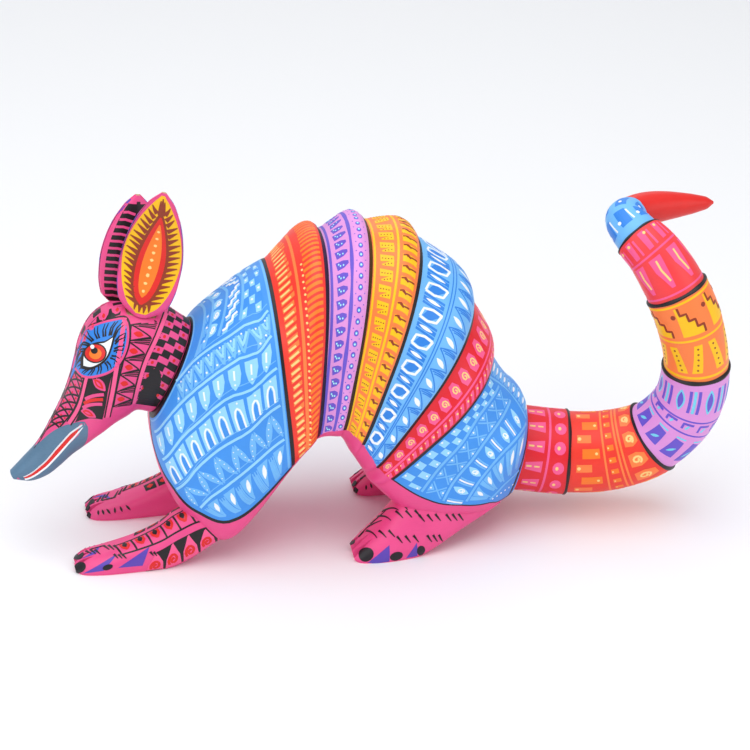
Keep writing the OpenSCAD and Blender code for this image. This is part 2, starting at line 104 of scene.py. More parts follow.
# Head, from the middle of the neck seat
HEAD = [
    [-8.8, -17.7, 8.7, 17.7, 15.0],
    [-13.8, -16.7, -0.7, 24.5, 15.6],
    [-17.3, -18.8, -10.2, 27.1, 17.0],
    [-21.8, -21.4, -20.7, 27.1, 18.0],
    [-25.8, -24.5, -29.2, 21.6, 17.6],
    [-29.3, -27.2, -34.2, 12.5, 15.6],
    [-33.3, -30.5, -37.0, 1.6, 12.2],
    [-38.3, -34.3, -40.8, -8.7, 9.2],
    [-43.3, -39.0, -45.8, -18.6, 7.2],
    [-48.3, -42.8, -51.6, -28.5, 6.0],
    [-54.6, -44.8, -58.0, -35.6, 5.2],
    [-61.0, -43.8, -62.8, -40.6, 3.4],
]
HEAD_SIZE = (71.6, 36.0)

# Ears: share of length, share of half the width, swell of the back, depth of the hollow
EAR = [
    [0.00, 0.336, 0.62, -0.62],
    [0.04, 0.60, 0.62, -0.62],
    [0.10, 0.82, 0.66, -0.60],
    [0.22, 0.95, 0.90, -0.25],
    [0.36, 1.00, 1.10, 0.30],
    [0.50, 0.99, 1.15, 0.55],
    [0.66, 0.87, 1.00, 0.52],
    [0.80, 0.67, 0.75, 0.35],
    [0.92, 0.40, 0.42, 0.12],
    [1.00, 0.08, 0.10, 0.00],
]
EAR_W, EAR_RIM, EAR_SWELL = 24.0, 1.2, 4.19
EAR_LENGTH = {LEFT: 51.0, RIGHT: 44.5}
EAR_LEAN = {LEFT: 11.0, RIGHT: 9.0}
EAR_SPLAY = {LEFT: 5.0, RIGHT: 1.0}
EAR_FACING = 14.0
SEAT_GAP = 0.3
EAR_HOLE_RADIUS, TAIL_HOLE_RADIUS = 1.35, 5.05

# Tail: centre line from its seat, and share of the radius at the seat
TAIL = [
    [0, 0, 0, 1.00],
    [20.5, -2.0, -2.6, 0.96],
    [38.0, -5.0, -1.6, 0.92],
    [54.0, -9.0, 5.2, 0.85],
    [65.0, -15.0, 20.6, 0.79],
    [67.0, -20.0, 40.0, 0.75],
    [63.0, -23.0, 58.4, 0.735],
    [57.0, -23.0, 73.1, 0.70],
    [50.0, -19.0, 85.1, 0.63],
    [43.6, -14.0, 92.0, 0.55],
    [40.2, -7.0, 96.0, 0.46],
    [43.4, -1.0, 96.4, 0.39],
]
TAIL_RADIUS, TAIL_SWELL = 17.5, 0.7
TAIL_PARTS = [(0, 1), (1, 3), (3, 5), (5, 7), (7, 9), (9, 11)]
TIP_DIRS = [
    [0.80, 0.58, 0.05],
    [0.92, 0.38, 0.0],
    [0.96, 0.26, -0.04],
    [0.98, 0.18, -0.05],
    [0.98, 0.16, -0.05],
]
TIP = [[0, 1], [0.25, 0.98], [0.5, 0.84], [0.75, 0.62], [0.92, 0.40], [1, 0.12]]
TIP_LENGTH = 37.0

# Legs: lowest point x, z, highest point x, z, share of the width, how far it is set in
FORELEG = [
    [-119.5, -1.0, -120.4, 2.6, 0.62, 0],
    [-116.0, -3.0, -116.2, 5.4, 0.92, 0],
    [-108.0, -3.5, -108.0, 7.4, 1.04, 0],
    [-97.0, -3.5, -97.5, 10.8, 1.02, 0],
    [-86.0, -3.0, -88.0, 15.4, 0.98, 0],
    [-77.0, 0.4, -81.0, 20.6, 0.96, 0],
    [-68.0, 6.0, -73.0, 23.5, 0.90, 0],
    [-60.5, 11.0, -63.5, 21.0, 0.74, 0],
    [-56.0, 14.0, -57.0, 17.0, 0.50, 0],
]
HINDLEG = [
    [-13.0, -0.5, -13.8, 3.0, 0.68, -0.5],
    [-9.5, -3.0, -9.4, 6.8, 0.94, 0],
    [-1.0, -4.0, -1.2, 14.0, 1.06, 0],
    [9.0, -3.0, 8.0, 22.8, 1.02, 0],
    [19.0, 1.4, 17.0, 24.5, 0.94, 0],
    [29.0, 6.4, 27.0, 23.5, 0.82, 1.5],
    [39.0, 10.4, 37.5, 21.5, 0.62, 4],
    [46.5, 13.4, 46.0, 17.5, 0.40, 6.5],
]
LEG_W = 18.5
# Node, outline, side, distance from the middle, inward lean, set-back
LEGS = [
    ("foreleg_left", FORELEG, LEFT, 23.0, 0.0, 0.0),
    ("foreleg_right", FORELEG, RIGHT, 23.0, 0.0, 7.0),
    ("hindleg_left", HINDLEG, LEFT, 29.0, 0.30, 0.0),
    ("hindleg_right", HINDLEG, RIGHT, 29.0, 0.30, 8.0),
]

# The figure's own sizes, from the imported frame
trunk_low, trunk_high = box_mm("trunk")
KX = (trunk_high[0] - trunk_low[0]) / TRUNK_SIZE[0]
KY = (trunk_high[1] - trunk_low[1]) / TRUNK_SIZE[1]
KZ = trunk_high[2] / TRUNK_SIZE[2]
head_low, head_high = box_mm("head")
KH = (head_high[0] - head_low[0]) / HEAD_SIZE[0]
KHY = (head_high[1] - head_low[1]) / HEAD_SIZE[1]


# ------------------------------------------------------------
# Skins: the carved surfaces, as rings of points
# ------------------------------------------------------------

def unit(v):
    return v / (np.linalg.norm(v) + 1e-12)


def smooth_rows(rows, u):
    """A smooth curve through the rows, at places u counted in rows."""
    p = np.asarray(rows, float)
    u = np.atleast_1d(np.asarray(u, float))
    last = len(p) - 1
    i = np.clip(np.floor(u).astype(int), 0, last - 1)
    b, c = p[i], p[i + 1]
    a = np.where((i > 0)[:, None], p[np.maximum(i - 1, 0)], 2 * b - c)
    d = np.where((i < last - 1)[:, None], p[np.minimum(i + 2, last)], 2 * c - b)
    t = (u - i)[:, None]
    return 0.5 * (2 * b + (c - a) * t + (2 * a - 5 * b + 4 * c - d) * t ** 2
                  + (3 * (b - c) + d - a) * t ** 3)


def section(low, high, w, low_n, high_n, sides):
    """A ring across a piece, evenly spaced from the bottom up the left side and down the right."""
    a = np.linspace(0, np.pi, 721)
    n = np.where(np.cos(a) < 0, low_n, high_n)
    r = np.sign(np.cos(a)) * np.abs(np.cos(a)) ** (2 / n)
    s = np.abs(np.sin(a)) ** (2 / n)
    m, h = (np.asarray(low) + high) / 2, (np.asarray(high) - low) / 2
    half = np.stack([m[0] + h[0] * r, w * s, m[1] + h[1] * r], -1)
    run = np.concatenate([[0], np.cumsum(np.linalg.norm(np.diff(half, axis=0), axis=1))])
    v = np.linspace(-1, 1, sides)
    at = np.abs(v) * run[-1]
    out = np.stack([np.interp(at, run, half[:, k]) for k in range(3)], -1)
    out[:, 1] *= np.where(v < 0, -1, 1)
    return out


class Skin:
    """A carved surface. u runs from ring to ring, and v round each ring from -1 to 1."""

    def __init__(self, us, rings):
        self.us = np.asarray(us, float)
        self.g = np.asarray(rings, float)
        self.base = PAINT_BASE
        self.hollow = False      # True where paint lies in a hollow
        self.seats = []          # cones cut out for other pieces: apex end, way, radius there
        self.find_normals()

    def find_normals(self):
        du = np.gradient(self.g, axis=0)
        dv = np.gradient(self.g, axis=1)
        seam = (self.g[:, 1] - self.g[:, -2]) / 2
        dv[:, 0] = seam
        dv[:, -1] = seam
        n = np.cross(dv, du)
        n /= np.linalg.norm(n, axis=2, keepdims=True) + 1e-12
        middle = self.g.mean(axis=1, keepdims=True)
        if np.mean(np.einsum("ijk,ijk->ij", self.g - middle, n)) < 0:
            n = -n
        self.n = n

    def look(self, u, v):
        """The points and normals of the surface at u, v."""
        u = np.clip(np.atleast_1d(u).astype(float), self.us[0], self.us[-1])
        v = np.atleast_1d(v).astype(float)
        v = (v + 1) % 2 - 1 + np.where(v >= 1, 2, 0) * (v == 1)
        i = np.clip(np.searchsorted(self.us, u, side="right") - 1, 0, len(self.us) - 2)
        fu = ((u - self.us[i]) / (self.us[i + 1] - self.us[i] + 1e-12))[:, None]
        vv = (v + 1) / 2 * (self.g.shape[1] - 1)
        j = np.clip(np.floor(vv).astype(int), 0, self.g.shape[1] - 2)
        fv = (vv - j)[:, None]
        out = []
        for a in (self.g, self.n):
            before = a[i, j] * (1 - fu) + a[i + 1, j] * fu
            after = a[i, j + 1] * (1 - fu) + a[i + 1, j + 1] * fu
            out.append(before * (1 - fv) + after * fv)
        out[1] /= np.linalg.norm(out[1], axis=1, keepdims=True) + 1e-12
        return out

    def at(self, u, v, height=0.0):
        p, n = self.look(u, v)
        return p + n * np.reshape(height, (-1, 1))

    def whole(self, points):
        """True where no seat is cut out of the surface."""
        out = np.ones(len(points), bool)
        for place, way, radius in self.seats:
            high = (points - place) @ way
            aside = np.linalg.norm(points - place - np.outer(high, way), axis=1)
            out &= (aside > radius + np.maximum(high, 0)) | (high < -1)
        return out

    def sidestep(self, u, v, step):
        """u, v moved by the millimetre vectors step along the surface."""
        e = 0.01
        p = self.at(u, v)
        gu = (self.at(u + e, v) - self.at(u - e, v)) / (2 * e)
        gv = (self.at(u, v + e) - self.at(u, v - e)) / (2 * e)
        a = (gu * gu).sum(1)
        b = (gu * gv).sum(1)
        c = (gv * gv).sum(1)
        x = (gu * step).sum(1)
        y = (gv * step).sum(1)
        det = a * c - b * b + 1e-9
        return u + (c * x - b * y) / det, v + (a * y - b * x) / det


def band_profile(t):
    return np.sin(np.radians(155 * t ** 1.9))


def trunk_skin(sides=241):
    us, rings = [], []
    for k, (first, last, strength) in enumerate(SHELL_PARTS):
        steps = 24 if last - first == 1 else 14 * (last - first)
        for i in range(steps + 1):
            t = i / steps
            seat = (k == 0 and i == 0) or (k == len(SHELL_PARTS) - 1 and i == steps)
            proud = 0 if seat else BAND_SWELL * strength * float(band_profile(t))
            u = first + (last - first) * t + (0.012 if k > 0 and i == 0 else 0)
            s = smooth_rows(TRUNK, u)[0]
            low = np.array([(s[0] + TRUNK_SHIFT) * KX, s[1] * KZ])
            high = np.array([(s[2] + TRUNK_SHIFT) * KX, s[3] * KZ])
            high = high + unit(high - low) * proud
            rings.append(section(low, high, s[4] * KY + SIDE_SWELL * proud, s[5], 2.15, sides))
            us.append(u)
    return Skin(us, rings)


def seat_middle(row):
    return np.array([(row[0] + row[2] + 2 * TRUNK_SHIFT) * KX / 2, (row[1] + row[3]) * KZ / 2])


def head_skin(sides=161):
    middle = seat_middle(TRUNK[0])
    us = np.linspace(0, len(HEAD) - 1, 133)
    rings = []
    for s in smooth_rows(HEAD, us):
        rings.append(section(middle + KH * s[0:2], middle + KH * s[2:4], s[4] * KHY, 2.3, 2.1, sides))
    return Skin(us, rings)


def leg_skin(rows, side, y, lean, back, sides=97):
    us = np.linspace(0, len(rows) - 1, 12 * (len(rows) - 1) + 1)
    rings = []
    for s in smooth_rows(rows, us):
        low = np.array([(s[0] + TRUNK_SHIFT) * KX, s[1] * KZ])
        high = np.array([(s[2] + TRUNK_SHIFT) * KX, s[3] * KZ])
        r = section(low, high, s[4] * LEG_W / 2, 2.4, 2.4, sides)
        r[:, 0] += back
        r[:, 1] += side * (y - lean * r[:, 2] - s[5])
        rings.append(r)
    return Skin(us, rings)


def turned(axis, degrees):
    return np.array(Matrix.Rotation(math.radians(degrees), 3, axis))


def side_name(side):
    return "left" if side < 0 else "right"


def ear_peg(side):
    """Where an ear's peg meets the ear, and the way it points."""
    joint = joints[f"ear_{side_name(side)}_turn"]
    return np.array(joint["pos_m"]) / MM, unit(np.array(joint["axis"], float))


def ear_skin(side, sides=121):
    seat, _ = ear_peg(side)
    stand = turned("Y", EAR_LEAN[side]) @ turned("X", -side * EAR_SPLAY[side])
    face = turned("Z", 180 + EAR_FACING if side > 0 else -EAR_FACING)
    us = np.concatenate([np.linspace(0, 0.12, 13), np.linspace(0.12, 1, 60)[1:]])
    rows = smooth_rows(EAR, np.interp(us, [r[0] for r in EAR], np.arange(len(EAR))))
    v = np.linspace(-1, 1, sides)
    x = np.where(np.abs(v) <= 0.5, 2 * v, np.sign(v) * (2 - 2 * np.abs(v)))
    f = np.sqrt(np.maximum(0, 1 - x * x))
    rings = []
    for t, s in zip(us, rows):
        front = -EAR_RIM / 2 + s[3] * EAR_SWELL * f
        back = EAR_RIM / 2 + s[2] * EAR_SWELL * f
        y = np.where(np.abs(v) <= 0.5, front, back)
        ring = np.stack([s[1] * EAR_W / 2 * x, y, np.full_like(x, t * EAR_LENGTH[side])], -1)
        rings.append((ring @ face.T + [0, 0, SEAT_GAP]) @ stand.T + seat)
    skin = Skin(us, rings)
    skin.base = EAR_PAINT_BASE
    skin.hollow = True
    return skin


def tube_ring(middle, way, side, r, sides):
    a = np.pi + np.linspace(-np.pi, np.pi, sides)[:, None]
    return middle + r * (np.cos(a) * side + np.sin(a) * np.cross(way, side))


tail_seat = np.array(joints["tail_turn"]["pos_m"]) / MM
tail_way = np.array(joints["tail_turn"]["axis"], float)


def tail_at(u):
    return tail_seat + tail_way * SEAT_GAP + smooth_rows(TAIL, u)[0][:3]


def tail_skin(sides=121):
    end = len(TAIL) - 1
    side = np.array([0, 1.0, 0])
    us, rings = [], []
    for k, (first, last) in enumerate(TAIL_PARTS):
        steps = 16 * (last - first)
        for i in range(steps + 1):
            t = i / steps
            u = first + (last - first) * t + (0.02 if k > 0 and i == 0 else 0)
            proud = 0 if u == 0 else TAIL_SWELL * (t - 0.5)
            way = tail_way if u == 0 else unit(tail_at(min(u + 0.02, end)) - tail_at(u - 0.02))
            side = unit(side - side.dot(way) * way)
            r = smooth_rows(TAIL, u)[0][3] * TAIL_RADIUS + proud
            rings.append(tube_ring(tail_at(u), way, side, r, sides))
            us.append(u)
    return Skin(us, rings), way, side


def tip_skin(way, side, sides=81, steps=40):
    p = tail_at(len(TAIL) - 1)
    r0 = TAIL[-1][3] * TAIL_RADIUS
    us, rings = [], []
    for i in range(steps + 1):
        f = i / steps
        if i:
            way = unit(smooth_rows(TIP_DIRS, min(f * 5, 4))[0])
            p = p + unit(smooth_rows(TIP_DIRS, min((f - 0.5 / steps) * 5, 4))[0]) * TIP_LENGTH / steps
        side = unit(side - side.dot(way) * way)
        r = r0 * smooth_rows(TIP, np.interp(f, [q[0] for q in TIP], range(len(TIP))))[0][1]
        rings.append(tube_ring(p, way, side, r, sides))
        us.append(f)
    return Skin(us, rings)


# ------------------------------------------------------------
# Paint
# ------------------------------------------------------------

# Pots of paint, as screen colours
POTS = {
    "pink": (236, 76, 140),
    "deep_pink": (214, 40, 92),
    "black": (22, 16, 20),
    "red": (226, 34, 28),
    "coral": (244, 62, 66),
    "vermilion": (243, 56, 40),
    "orange": (252, 126, 30),
    "soft_orange": (255, 130, 62),
    "cream": (255, 214, 134),
    "yellow": (255, 196, 0),
    "brown": (146, 52, 22),
    "crimson": (232, 28, 44),
    "rose": (250, 92, 148),
    "lilac": (226, 150, 222),
    "purple": (106, 84, 206),
    "cyan": (120, 214, 240),
    "sky": (112, 186, 246),
    "pale_blue": (150, 214, 252),
    "blue": (44, 132, 226),
    "mid_blue": (62, 148, 236),
    "deep_blue": (26, 104, 196),
    "white": (244, 248, 252),
    "slate": (88, 122, 150),
    "nail": (24, 18, 26),
    "violet": (92, 66, 176),
}


def linear(pot):
    """The shader colour of a pot."""
    out = []
    for c in POTS[pot]:
        c = c / 255
        out.append(c / 12.92 if c <= 0.04045 else ((c + 0.055) / 1.055) ** 2.4)
    return (*out, 1.0)


def new_group(name, inputs, outputs):
    tree = bpy.data.node_groups.new(name, "ShaderNodeTree")
    for label, kind, value in inputs:
        socket = tree.interface.new_socket(name=label, in_out="INPUT", socket_type=kind)
        socket.default_value = value
    for label, kind in outputs:
        tree.interface.new_socket(name=label, in_out="OUTPUT", socket_type=kind)
    return tree, tree.nodes.new("NodeGroupInput"), tree.nodes.new("NodeGroupOutput")


def make_acrylic():
    """Hand-brushed acrylic: slow drifts of tone, fine brush streaks and a satin sheen."""
    tree, start, end = new_group(
        "brushed_acrylic",
        [("Color", "NodeSocketColor", (1, 1, 1, 1)), ("Drift", "NodeSocketFloat", 0.12)],
        [("Color", "NodeSocketColor"), ("Roughness", "NodeSocketFloat"), ("Height", "NodeSocketFloat")],
    )
    place = tree.nodes.new("ShaderNodeTexCoord")
    slow = tree.nodes.new("ShaderNodeTexNoise")
    slow.inputs["Scale"].default_value = 90
    slow.inputs["Detail"].default_value = 3
    streak_map = tree.nodes.new("ShaderNodeMapping")
    streak_map.inputs["Scale"].default_value = (260, 900, 1500)
    streak_map.inputs["Rotation"].default_value = (0.3, 0.5, 0.2)
    streaks = tree.nodes.new("ShaderNodeTexNoise")
    streaks.inputs["Scale"].default_value = 1
    streaks.inputs["Detail"].default_value = 2
    tree.links.new(place.outputs["Object"], slow.inputs["Vector"])
    tree.links.new(place.outputs["Object"], streak_map.inputs["Vector"])
    tree.links.new(streak_map.outputs["Vector"], streaks.inputs["Vector"])
    both = tree.nodes.new("ShaderNodeMath")
    both.operation = "MULTIPLY_ADD"
    both.inputs[1].default_value = 0.45
    tree.links.new(streaks.outputs["Fac"], both.inputs[0])
    tree.links.new(slow.outputs["Fac"], both.inputs[2])
    centred = tree.nodes.new("ShaderNodeMath")
    centred.operation = "SUBTRACT"
    centred.inputs[1].default_value = 0.725
    tree.links.new(both.outputs[0], centred.inputs[0])
    amount = tree.nodes.new("ShaderNodeMath")
    amount.operation = "MULTIPLY_ADD"
    amount.inputs[2].default_value = 1.0
    tree.links.new(centred.outputs[0], amount.inputs[0])
    tree.links.new(start.outputs["Drift"], amount.inputs[1])
    tone = tree.nodes.new("ShaderNodeHueSaturation")
    tree.links.new(amount.outputs[0], tone.inputs["Value"])
    tree.links.new(start.outputs["Color"], tone.inputs["Color"])
    tree.links.new(tone.outputs["Color"], end.inputs["Color"])
    sheen = tree.nodes.new("ShaderNodeMapRange")
    sheen.inputs["From Min"].default_value = 0.3
    sheen.inputs["From Max"].default_value = 0.7
    sheen.inputs["To Min"].default_value = 0.34
    sheen.inputs["To Max"].default_value = 0.50
    tree.links.new(slow.outputs["Fac"], sheen.inputs["Value"])
    tree.links.new(sheen.outputs["Result"], end.inputs["Roughness"])
    tree.links.new(both.outputs[0], end.inputs["Height"])
    return tree


def make_wood():
    """Bare copal wood: pale, with long soft grain along X."""
    tree, start, end = new_group(
        "bare_copal",
        [("Color", "NodeSocketColor", (1, 1, 1, 1))],
        [("Color", "NodeSocketColor"), ("Roughness", "NodeSocketFloat"), ("Height", "NodeSocketFloat")],
    )
    place = tree.nodes.new("ShaderNodeTexCoord")
    stretch = tree.nodes.new("ShaderNodeMapping")
    stretch.inputs["Scale"].default_value = (60, 900, 700)
    grain = tree.nodes.new("ShaderNodeTexNoise")
    grain.inputs["Scale"].default_value = 1
    grain.inputs["Detail"].default_value = 5
    tree.links.new(place.outputs["Object"], stretch.inputs["Vector"])
    tree.links.new(stretch.outputs["Vector"], grain.inputs["Vector"])
    ramp = tree.nodes.new("ShaderNodeMapRange")
    ramp.inputs["From Min"].default_value = 0.3
    ramp.inputs["From Max"].default_value = 0.7
    ramp.inputs["To Min"].default_value = 0.72
    ramp.inputs["To Max"].default_value = 1.08
    tree.links.new(grain.outputs["Fac"], ramp.inputs["Value"])
    tone = tree.nodes.new("ShaderNodeHueSaturation")
    tree.links.new(ramp.outputs["Result"], tone.inputs["Value"])
    tree.links.new(start.outputs["Color"], tone.inputs["Color"])
    tree.links.new(tone.outputs["Color"], end.inputs["Color"])
    tree.links.new(ramp.outputs["Result"], end.inputs["Roughness"])
    tree.links.new(grain.outputs["Fac"], end.inputs["Height"])
    return tree


ACRYLIC = make_acrylic()
WOOD = make_wood()
materials = {}


def finish_material(name, group, color, bump, drift=None):
    material = bpy.data.materials.new(name)
    material.use_nodes = True
    tree = material.node_tree
    shader = tree.nodes["Principled BSDF"]
    effect = tree.nodes.new("ShaderNodeGroup")
    effect.node_tree = group
    effect.inputs["Color"].default_value = color
    if drift is not None:
        effect.inputs["Drift"].default_value = drift
    tree.links.new(effect.outputs["Color"], shader.inputs["Base Color"])
    tree.links.new(effect.outputs["Roughness"], shader.inputs["Roughness"])
    relief = tree.nodes.new("ShaderNodeBump")
    relief.inputs["Strength"].default_value = 0.35
    relief.inputs["Distance"].default_value = bump
    tree.links.new(effect.outputs["Height"], relief.inputs["Height"])
    tree.links.new(relief.outputs["Normal"], shader.inputs["Normal"])
    shader.inputs["IOR"].default_value = 1.46
    return material


def paint_of(pot):
    """The material of one pot of acrylic."""
    if pot not in materials:
        if pot == "wood":
            materials[pot] = finish_material("copal_wood", WOOD, (0.62, 0.41, 0.22, 1), 0.00015)
        else:
            drift = {"black": 0.5, "slate": 0.4}.get(pot, 0.16)
            materials[pot] = finish_material("acrylic_" + pot, ACRYLIC, linear(pot), 0.00012, drift)
    return materials[pot]


# ------------------------------------------------------------
# Pieces
# ------------------------------------------------------------

def pick_up(piece):
    """Selects one piece alone."""
    bpy.ops.object.select_all(action="DESELECT")
    piece.select_set(True)
    bpy.context.view_layer.objects.active = piece


def face_outwards():
    bpy.ops.object.mode_set(mode="EDIT")
    bpy.ops.mesh.select_all(action="SELECT")
    bpy.ops.mesh.normals_make_consistent(inside=False)
    bpy.ops.object.mode_set(mode="OBJECT")


def make_piece(name, points, faces, pots, face_pots):
    """A mesh piece from points in millimetres. face_pots gives each face's place in pots."""
    mesh = bpy.data.meshes.new(name)
    mesh.from_pydata((np.asarray(points) * MM).tolist(), [], faces)
    for pot in pots:
        mesh.materials.append(paint_of(pot))
    mesh.polygons.foreach_set("material_index", np.asarray(face_pots, np.int32))
    mesh.update()
    piece = bpy.data.objects.new(name, mesh)
    bpy.context.scene.collection.objects.link(piece)
    pick_up(piece)
    return piece


def settle(piece, body):
    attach(piece, body)
    return piece


def grid_faces(rows, columns, closed=True):
    """Quads of a grid of points; the last column joins the first when it is closed."""
    faces = []
    for i in range(rows - 1):
        for j in range(columns if closed else columns - 1):
            k = (j + 1) % columns
            faces.append((i * columns + j, i * columns + k, (i + 1) * columns + k, (i + 1) * columns + j))
    return faces


def round_rows(us, columns):
    """The same evenly spaced places round every ring."""
    return np.tile(np.linspace(-1, 1, columns), (len(us), 1))


def plain(pot):
    return lambda u, v: pot


def carved_solid(name, skin, us, v_rows, pot_at, cap_pots=("wood", "wood")):
    """A closed solid under a skin. v_rows holds the places round each ring, and pot_at(u, v) names
    the paint of each face."""
    us = np.asarray(us, float)
    columns = v_rows.shape[1] - 1
    grid = np.stack([skin.at(np.full(columns, u), v[:-1], skin.base) for u, v in zip(us, v_rows)])
    points = list(grid.reshape(-1, 3))
    faces = grid_faces(len(us), columns)
    pots, face_pots = [], []

    def pot_index(pot):
        if pot not in pots:
            pots.append(pot)
        return pots.index(pot)

    for i in range(len(us) - 1):
        u = (us[i] + us[i + 1]) / 2
        for j in range(columns):
            v = (v_rows[i][j] + v_rows[i][j + 1]) / 2
            face_pots.append(pot_index(pot_at(u, v)))
    for end, row in ((0, 0), (1, len(us) - 1)):
        points.append(grid[row].mean(axis=0))
        hub = len(points) - 1
        for j in range(columns):
            k = (j + 1) % columns
            rim = (row * columns + j, row * columns + k)
            faces.append((rim[1], rim[0], hub) if end == 0 else (rim[0], rim[1], hub))
            face_pots.append(pot_index(cap_pots[end]))
    piece = make_piece(name, points, faces, pots, face_pots)
    face_outwards()
    bpy.ops.object.shade_smooth_by_angle(angle=math.radians(35))
    return piece


def cut_with(piece, cutter):
    """Cuts a tool shape out of a piece, then throws the tool away."""
    pick_up(piece)
    cut = piece.modifiers.new("cut", "BOOLEAN")
    cut.operation = "DIFFERENCE"
    cut.solver = "EXACT"
    cut.object = cutter
    bpy.ops.object.modifier_apply(modifier="cut")
    bpy.data.objects.remove(cutter)


def tool(kind, place, way, **sizes):
    """A cylinder or cone in millimetres whose middle is at place and whose axis runs along way."""
    bpy.ops.object.select_all(action="DESELECT")
    turn = Vector(way).to_track_quat("Z", "Y").to_euler()
    sizes = {k: v * MM for k, v in sizes.items()}
    make = bpy.ops.mesh.primitive_cylinder_add if kind == "cylinder" else bpy.ops.mesh.primitive_cone_add
    make(vertices=64, location=Vector(place) * MM, rotation=turn, **sizes)
    shape = bpy.context.active_object
    bpy.ops.object.transform_apply(location=True, rotation=True, scale=True)
    shape.data.materials.append(paint_of("wood"))
    return shape


# ------------------------------------------------------------
# Brushwork
# ------------------------------------------------------------

class Patch:
    """A part of a skin to paint on. Its map takes a, b to u, v on the skin."""

    def __init__(self, skin, to_uv):
        self.skin = skin
        self.to_uv = to_uv

    def uv(self, ab):
        ab = np.atleast_2d(np.asarray(ab, float))
        return self.to_uv(ab[:, 0], ab[:, 1])


def smooth_line(points, count=61):
    """A smooth curve through a list of points."""
    p = np.asarray(points, float)
    p = np.vstack([2 * p[0] - p[1], p, 2 * p[-1] - p[-2]])
    f = np.linspace(0, len(p) - 3, count)
    i = np.minimum(f.astype(int), len(p) - 4)
    t = (f - i)[:, None]
    a, b, c, d = p[i], p[i + 1], p[i + 2], p[i + 3]
    return 0.5 * (2 * b + (c - a) * t + (2 * a - 5 * b + 4 * c - d) * t ** 2 + (3 * (b - c) + d - a) * t ** 3)


def strip(skin, first, second, side, square=False):
    """A patch between two lines of u, v points; v is counted down from the back on either side.
    a is the share of each line's own length, or with square, of the first line's."""
    lines, places = [], []
    for line in (first, second):
        line = smooth_line(line)
        place = skin.at(line[:, 0], side * line[:, 1])
        run = np.concatenate([[0], np.cumsum(np.linalg.norm(np.diff(place, axis=0), axis=1))])
        lines.append((line, run / run[-1]))
        places.append(place)
    if square:
        apart = np.linalg.norm(places[0][:, None] - places[1][None], axis=2)
        match = np.maximum.accumulate(lines[1][1][apart.argmin(axis=1)])
        match = 0.85 * match + 0.15 * lines[0][1]
        steps = np.linspace(0, 1, 31)
        lined = np.interp(steps, lines[0][1], match)
        lines[1] = (np.stack([np.interp(lined, lines[1][1], lines[1][0][:, k]) for k in range(2)], -1), steps)

    def along(line, run, a):
        inside = [np.interp(a, run, line[:, k]) for k in range(2)]
        slope = (line[-1] - line[-2]) / (run[-1] - run[-2])
        early = (line[1] - line[0]) / (run[1] - run[0])
        over, under = np.maximum(a - 1, 0), np.minimum(a, 0)
        return np.stack([inside[k] + over * slope[k] + under * early[k] for k in range(2)], -1)

    def to_uv(a, b):
        p = along(*lines[0], a) * (1 - b[:, None]) + along(*lines[1], a) * b[:, None]
        return p[:, 0], side * p[:, 1]
    return Patch(skin, to_uv)


class Coats:
    """The strokes of one pot on one piece, gathered into one mesh."""

    def __init__(self):
        self.points, self.faces = [], []

    def add(self, points, faces):
        start = len(self.points)
        self.points.extend(points)
        self.faces.extend([tuple(start + k for k in f) for f in faces])


work = {}      # (piece, body, slot, pot) -> Coats
hand = random.Random(7)
bench = {"piece": "", "body": "", "slot": ""}


def paint_on(piece, body, slot):
    bench.update(piece=piece, body=body, slot=slot)


def coats(pot):
    key = (bench["piece"], bench["body"], bench["slot"], pot)
    if key not in work:
        work[key] = Coats()
    return work[key]


def lay_grid(patch, pot, u, v, layer):
    """One patch of paint over a grid of u, v places, closed underneath. Rows that cross a seat
    are left out."""
    if patch.skin.seats:
        keep = patch.skin.whole(patch.skin.at(u.ravel(), v.ravel())).reshape(u.shape).all(axis=1)
        if not keep.all():
            runs = np.split(np.arange(len(u)), np.nonzero(np.diff(keep.astype(int)))[0] + 1)
            for run in runs:
                if keep[run[0]] and len(run) > 1:
                    lay_closed(patch, pot, u[run], v[run], layer)
            return
    lay_closed(patch, pot, u, v, layer)


def lay_closed(patch, pot, u, v, layer):
    """One unbroken patch of paint. In a hollow its underside follows the surface all over."""
    rows, columns = u.shape
    top = patch.skin.base + COAT_STEP * layer
    p, n = patch.skin.look(u.ravel(), v.ravel())
    upper = (p + n * top).reshape(rows, columns, 3)
    lower = (p + n * (patch.skin.base - COAT_SINK)).reshape(rows, columns, 3)
    upper[:, :, 2] = np.maximum(upper[:, :, 2], GROUND)
    lower[:, :, 2] = np.maximum(lower[:, :, 2], GROUND)
    corner = np.cross(upper[0, -1] - upper[0, 0], upper[-1, 0] - upper[0, 0])
    flip = corner.dot(n.reshape(rows, columns, 3)[0, 0]) < 0
    if patch.skin.hollow:
        points = list(upper.reshape(-1, 3)) + list(lower.reshape(-1, 3))
        faces = closed_grid_faces(rows, columns)
        coats(pot).add(points, [f[::-1] for f in faces] if flip else faces)
        return
    points = list(upper.reshape(-1, 3)) + list(lower[:, 0]) + list(lower[:, -1])
    a, b = rows * columns, rows * columns + rows
    faces = []
    for i in range(rows - 1):
        for j in range(columns - 1):
            k = i * columns + j
            faces.append((k, k + 1, k + columns + 1, k + columns))
        k = i * columns
        faces.append((k, k + columns, a + i + 1, a + i))
        k += columns - 1
        faces.append((k + columns, k, b + i, b + i + 1))
        faces.append((a + i, a + i + 1, b + i + 1, b + i))
    last = (rows - 1) * columns
    faces.append(tuple(range(columns - 1, -1, -1)) + (a, b))
    faces.append(tuple(range(last, last + columns)) + (b + rows - 1, a + rows - 1))
    if flip:
        faces = [f[::-1] for f in faces]
    coats(pot).add(points, faces)


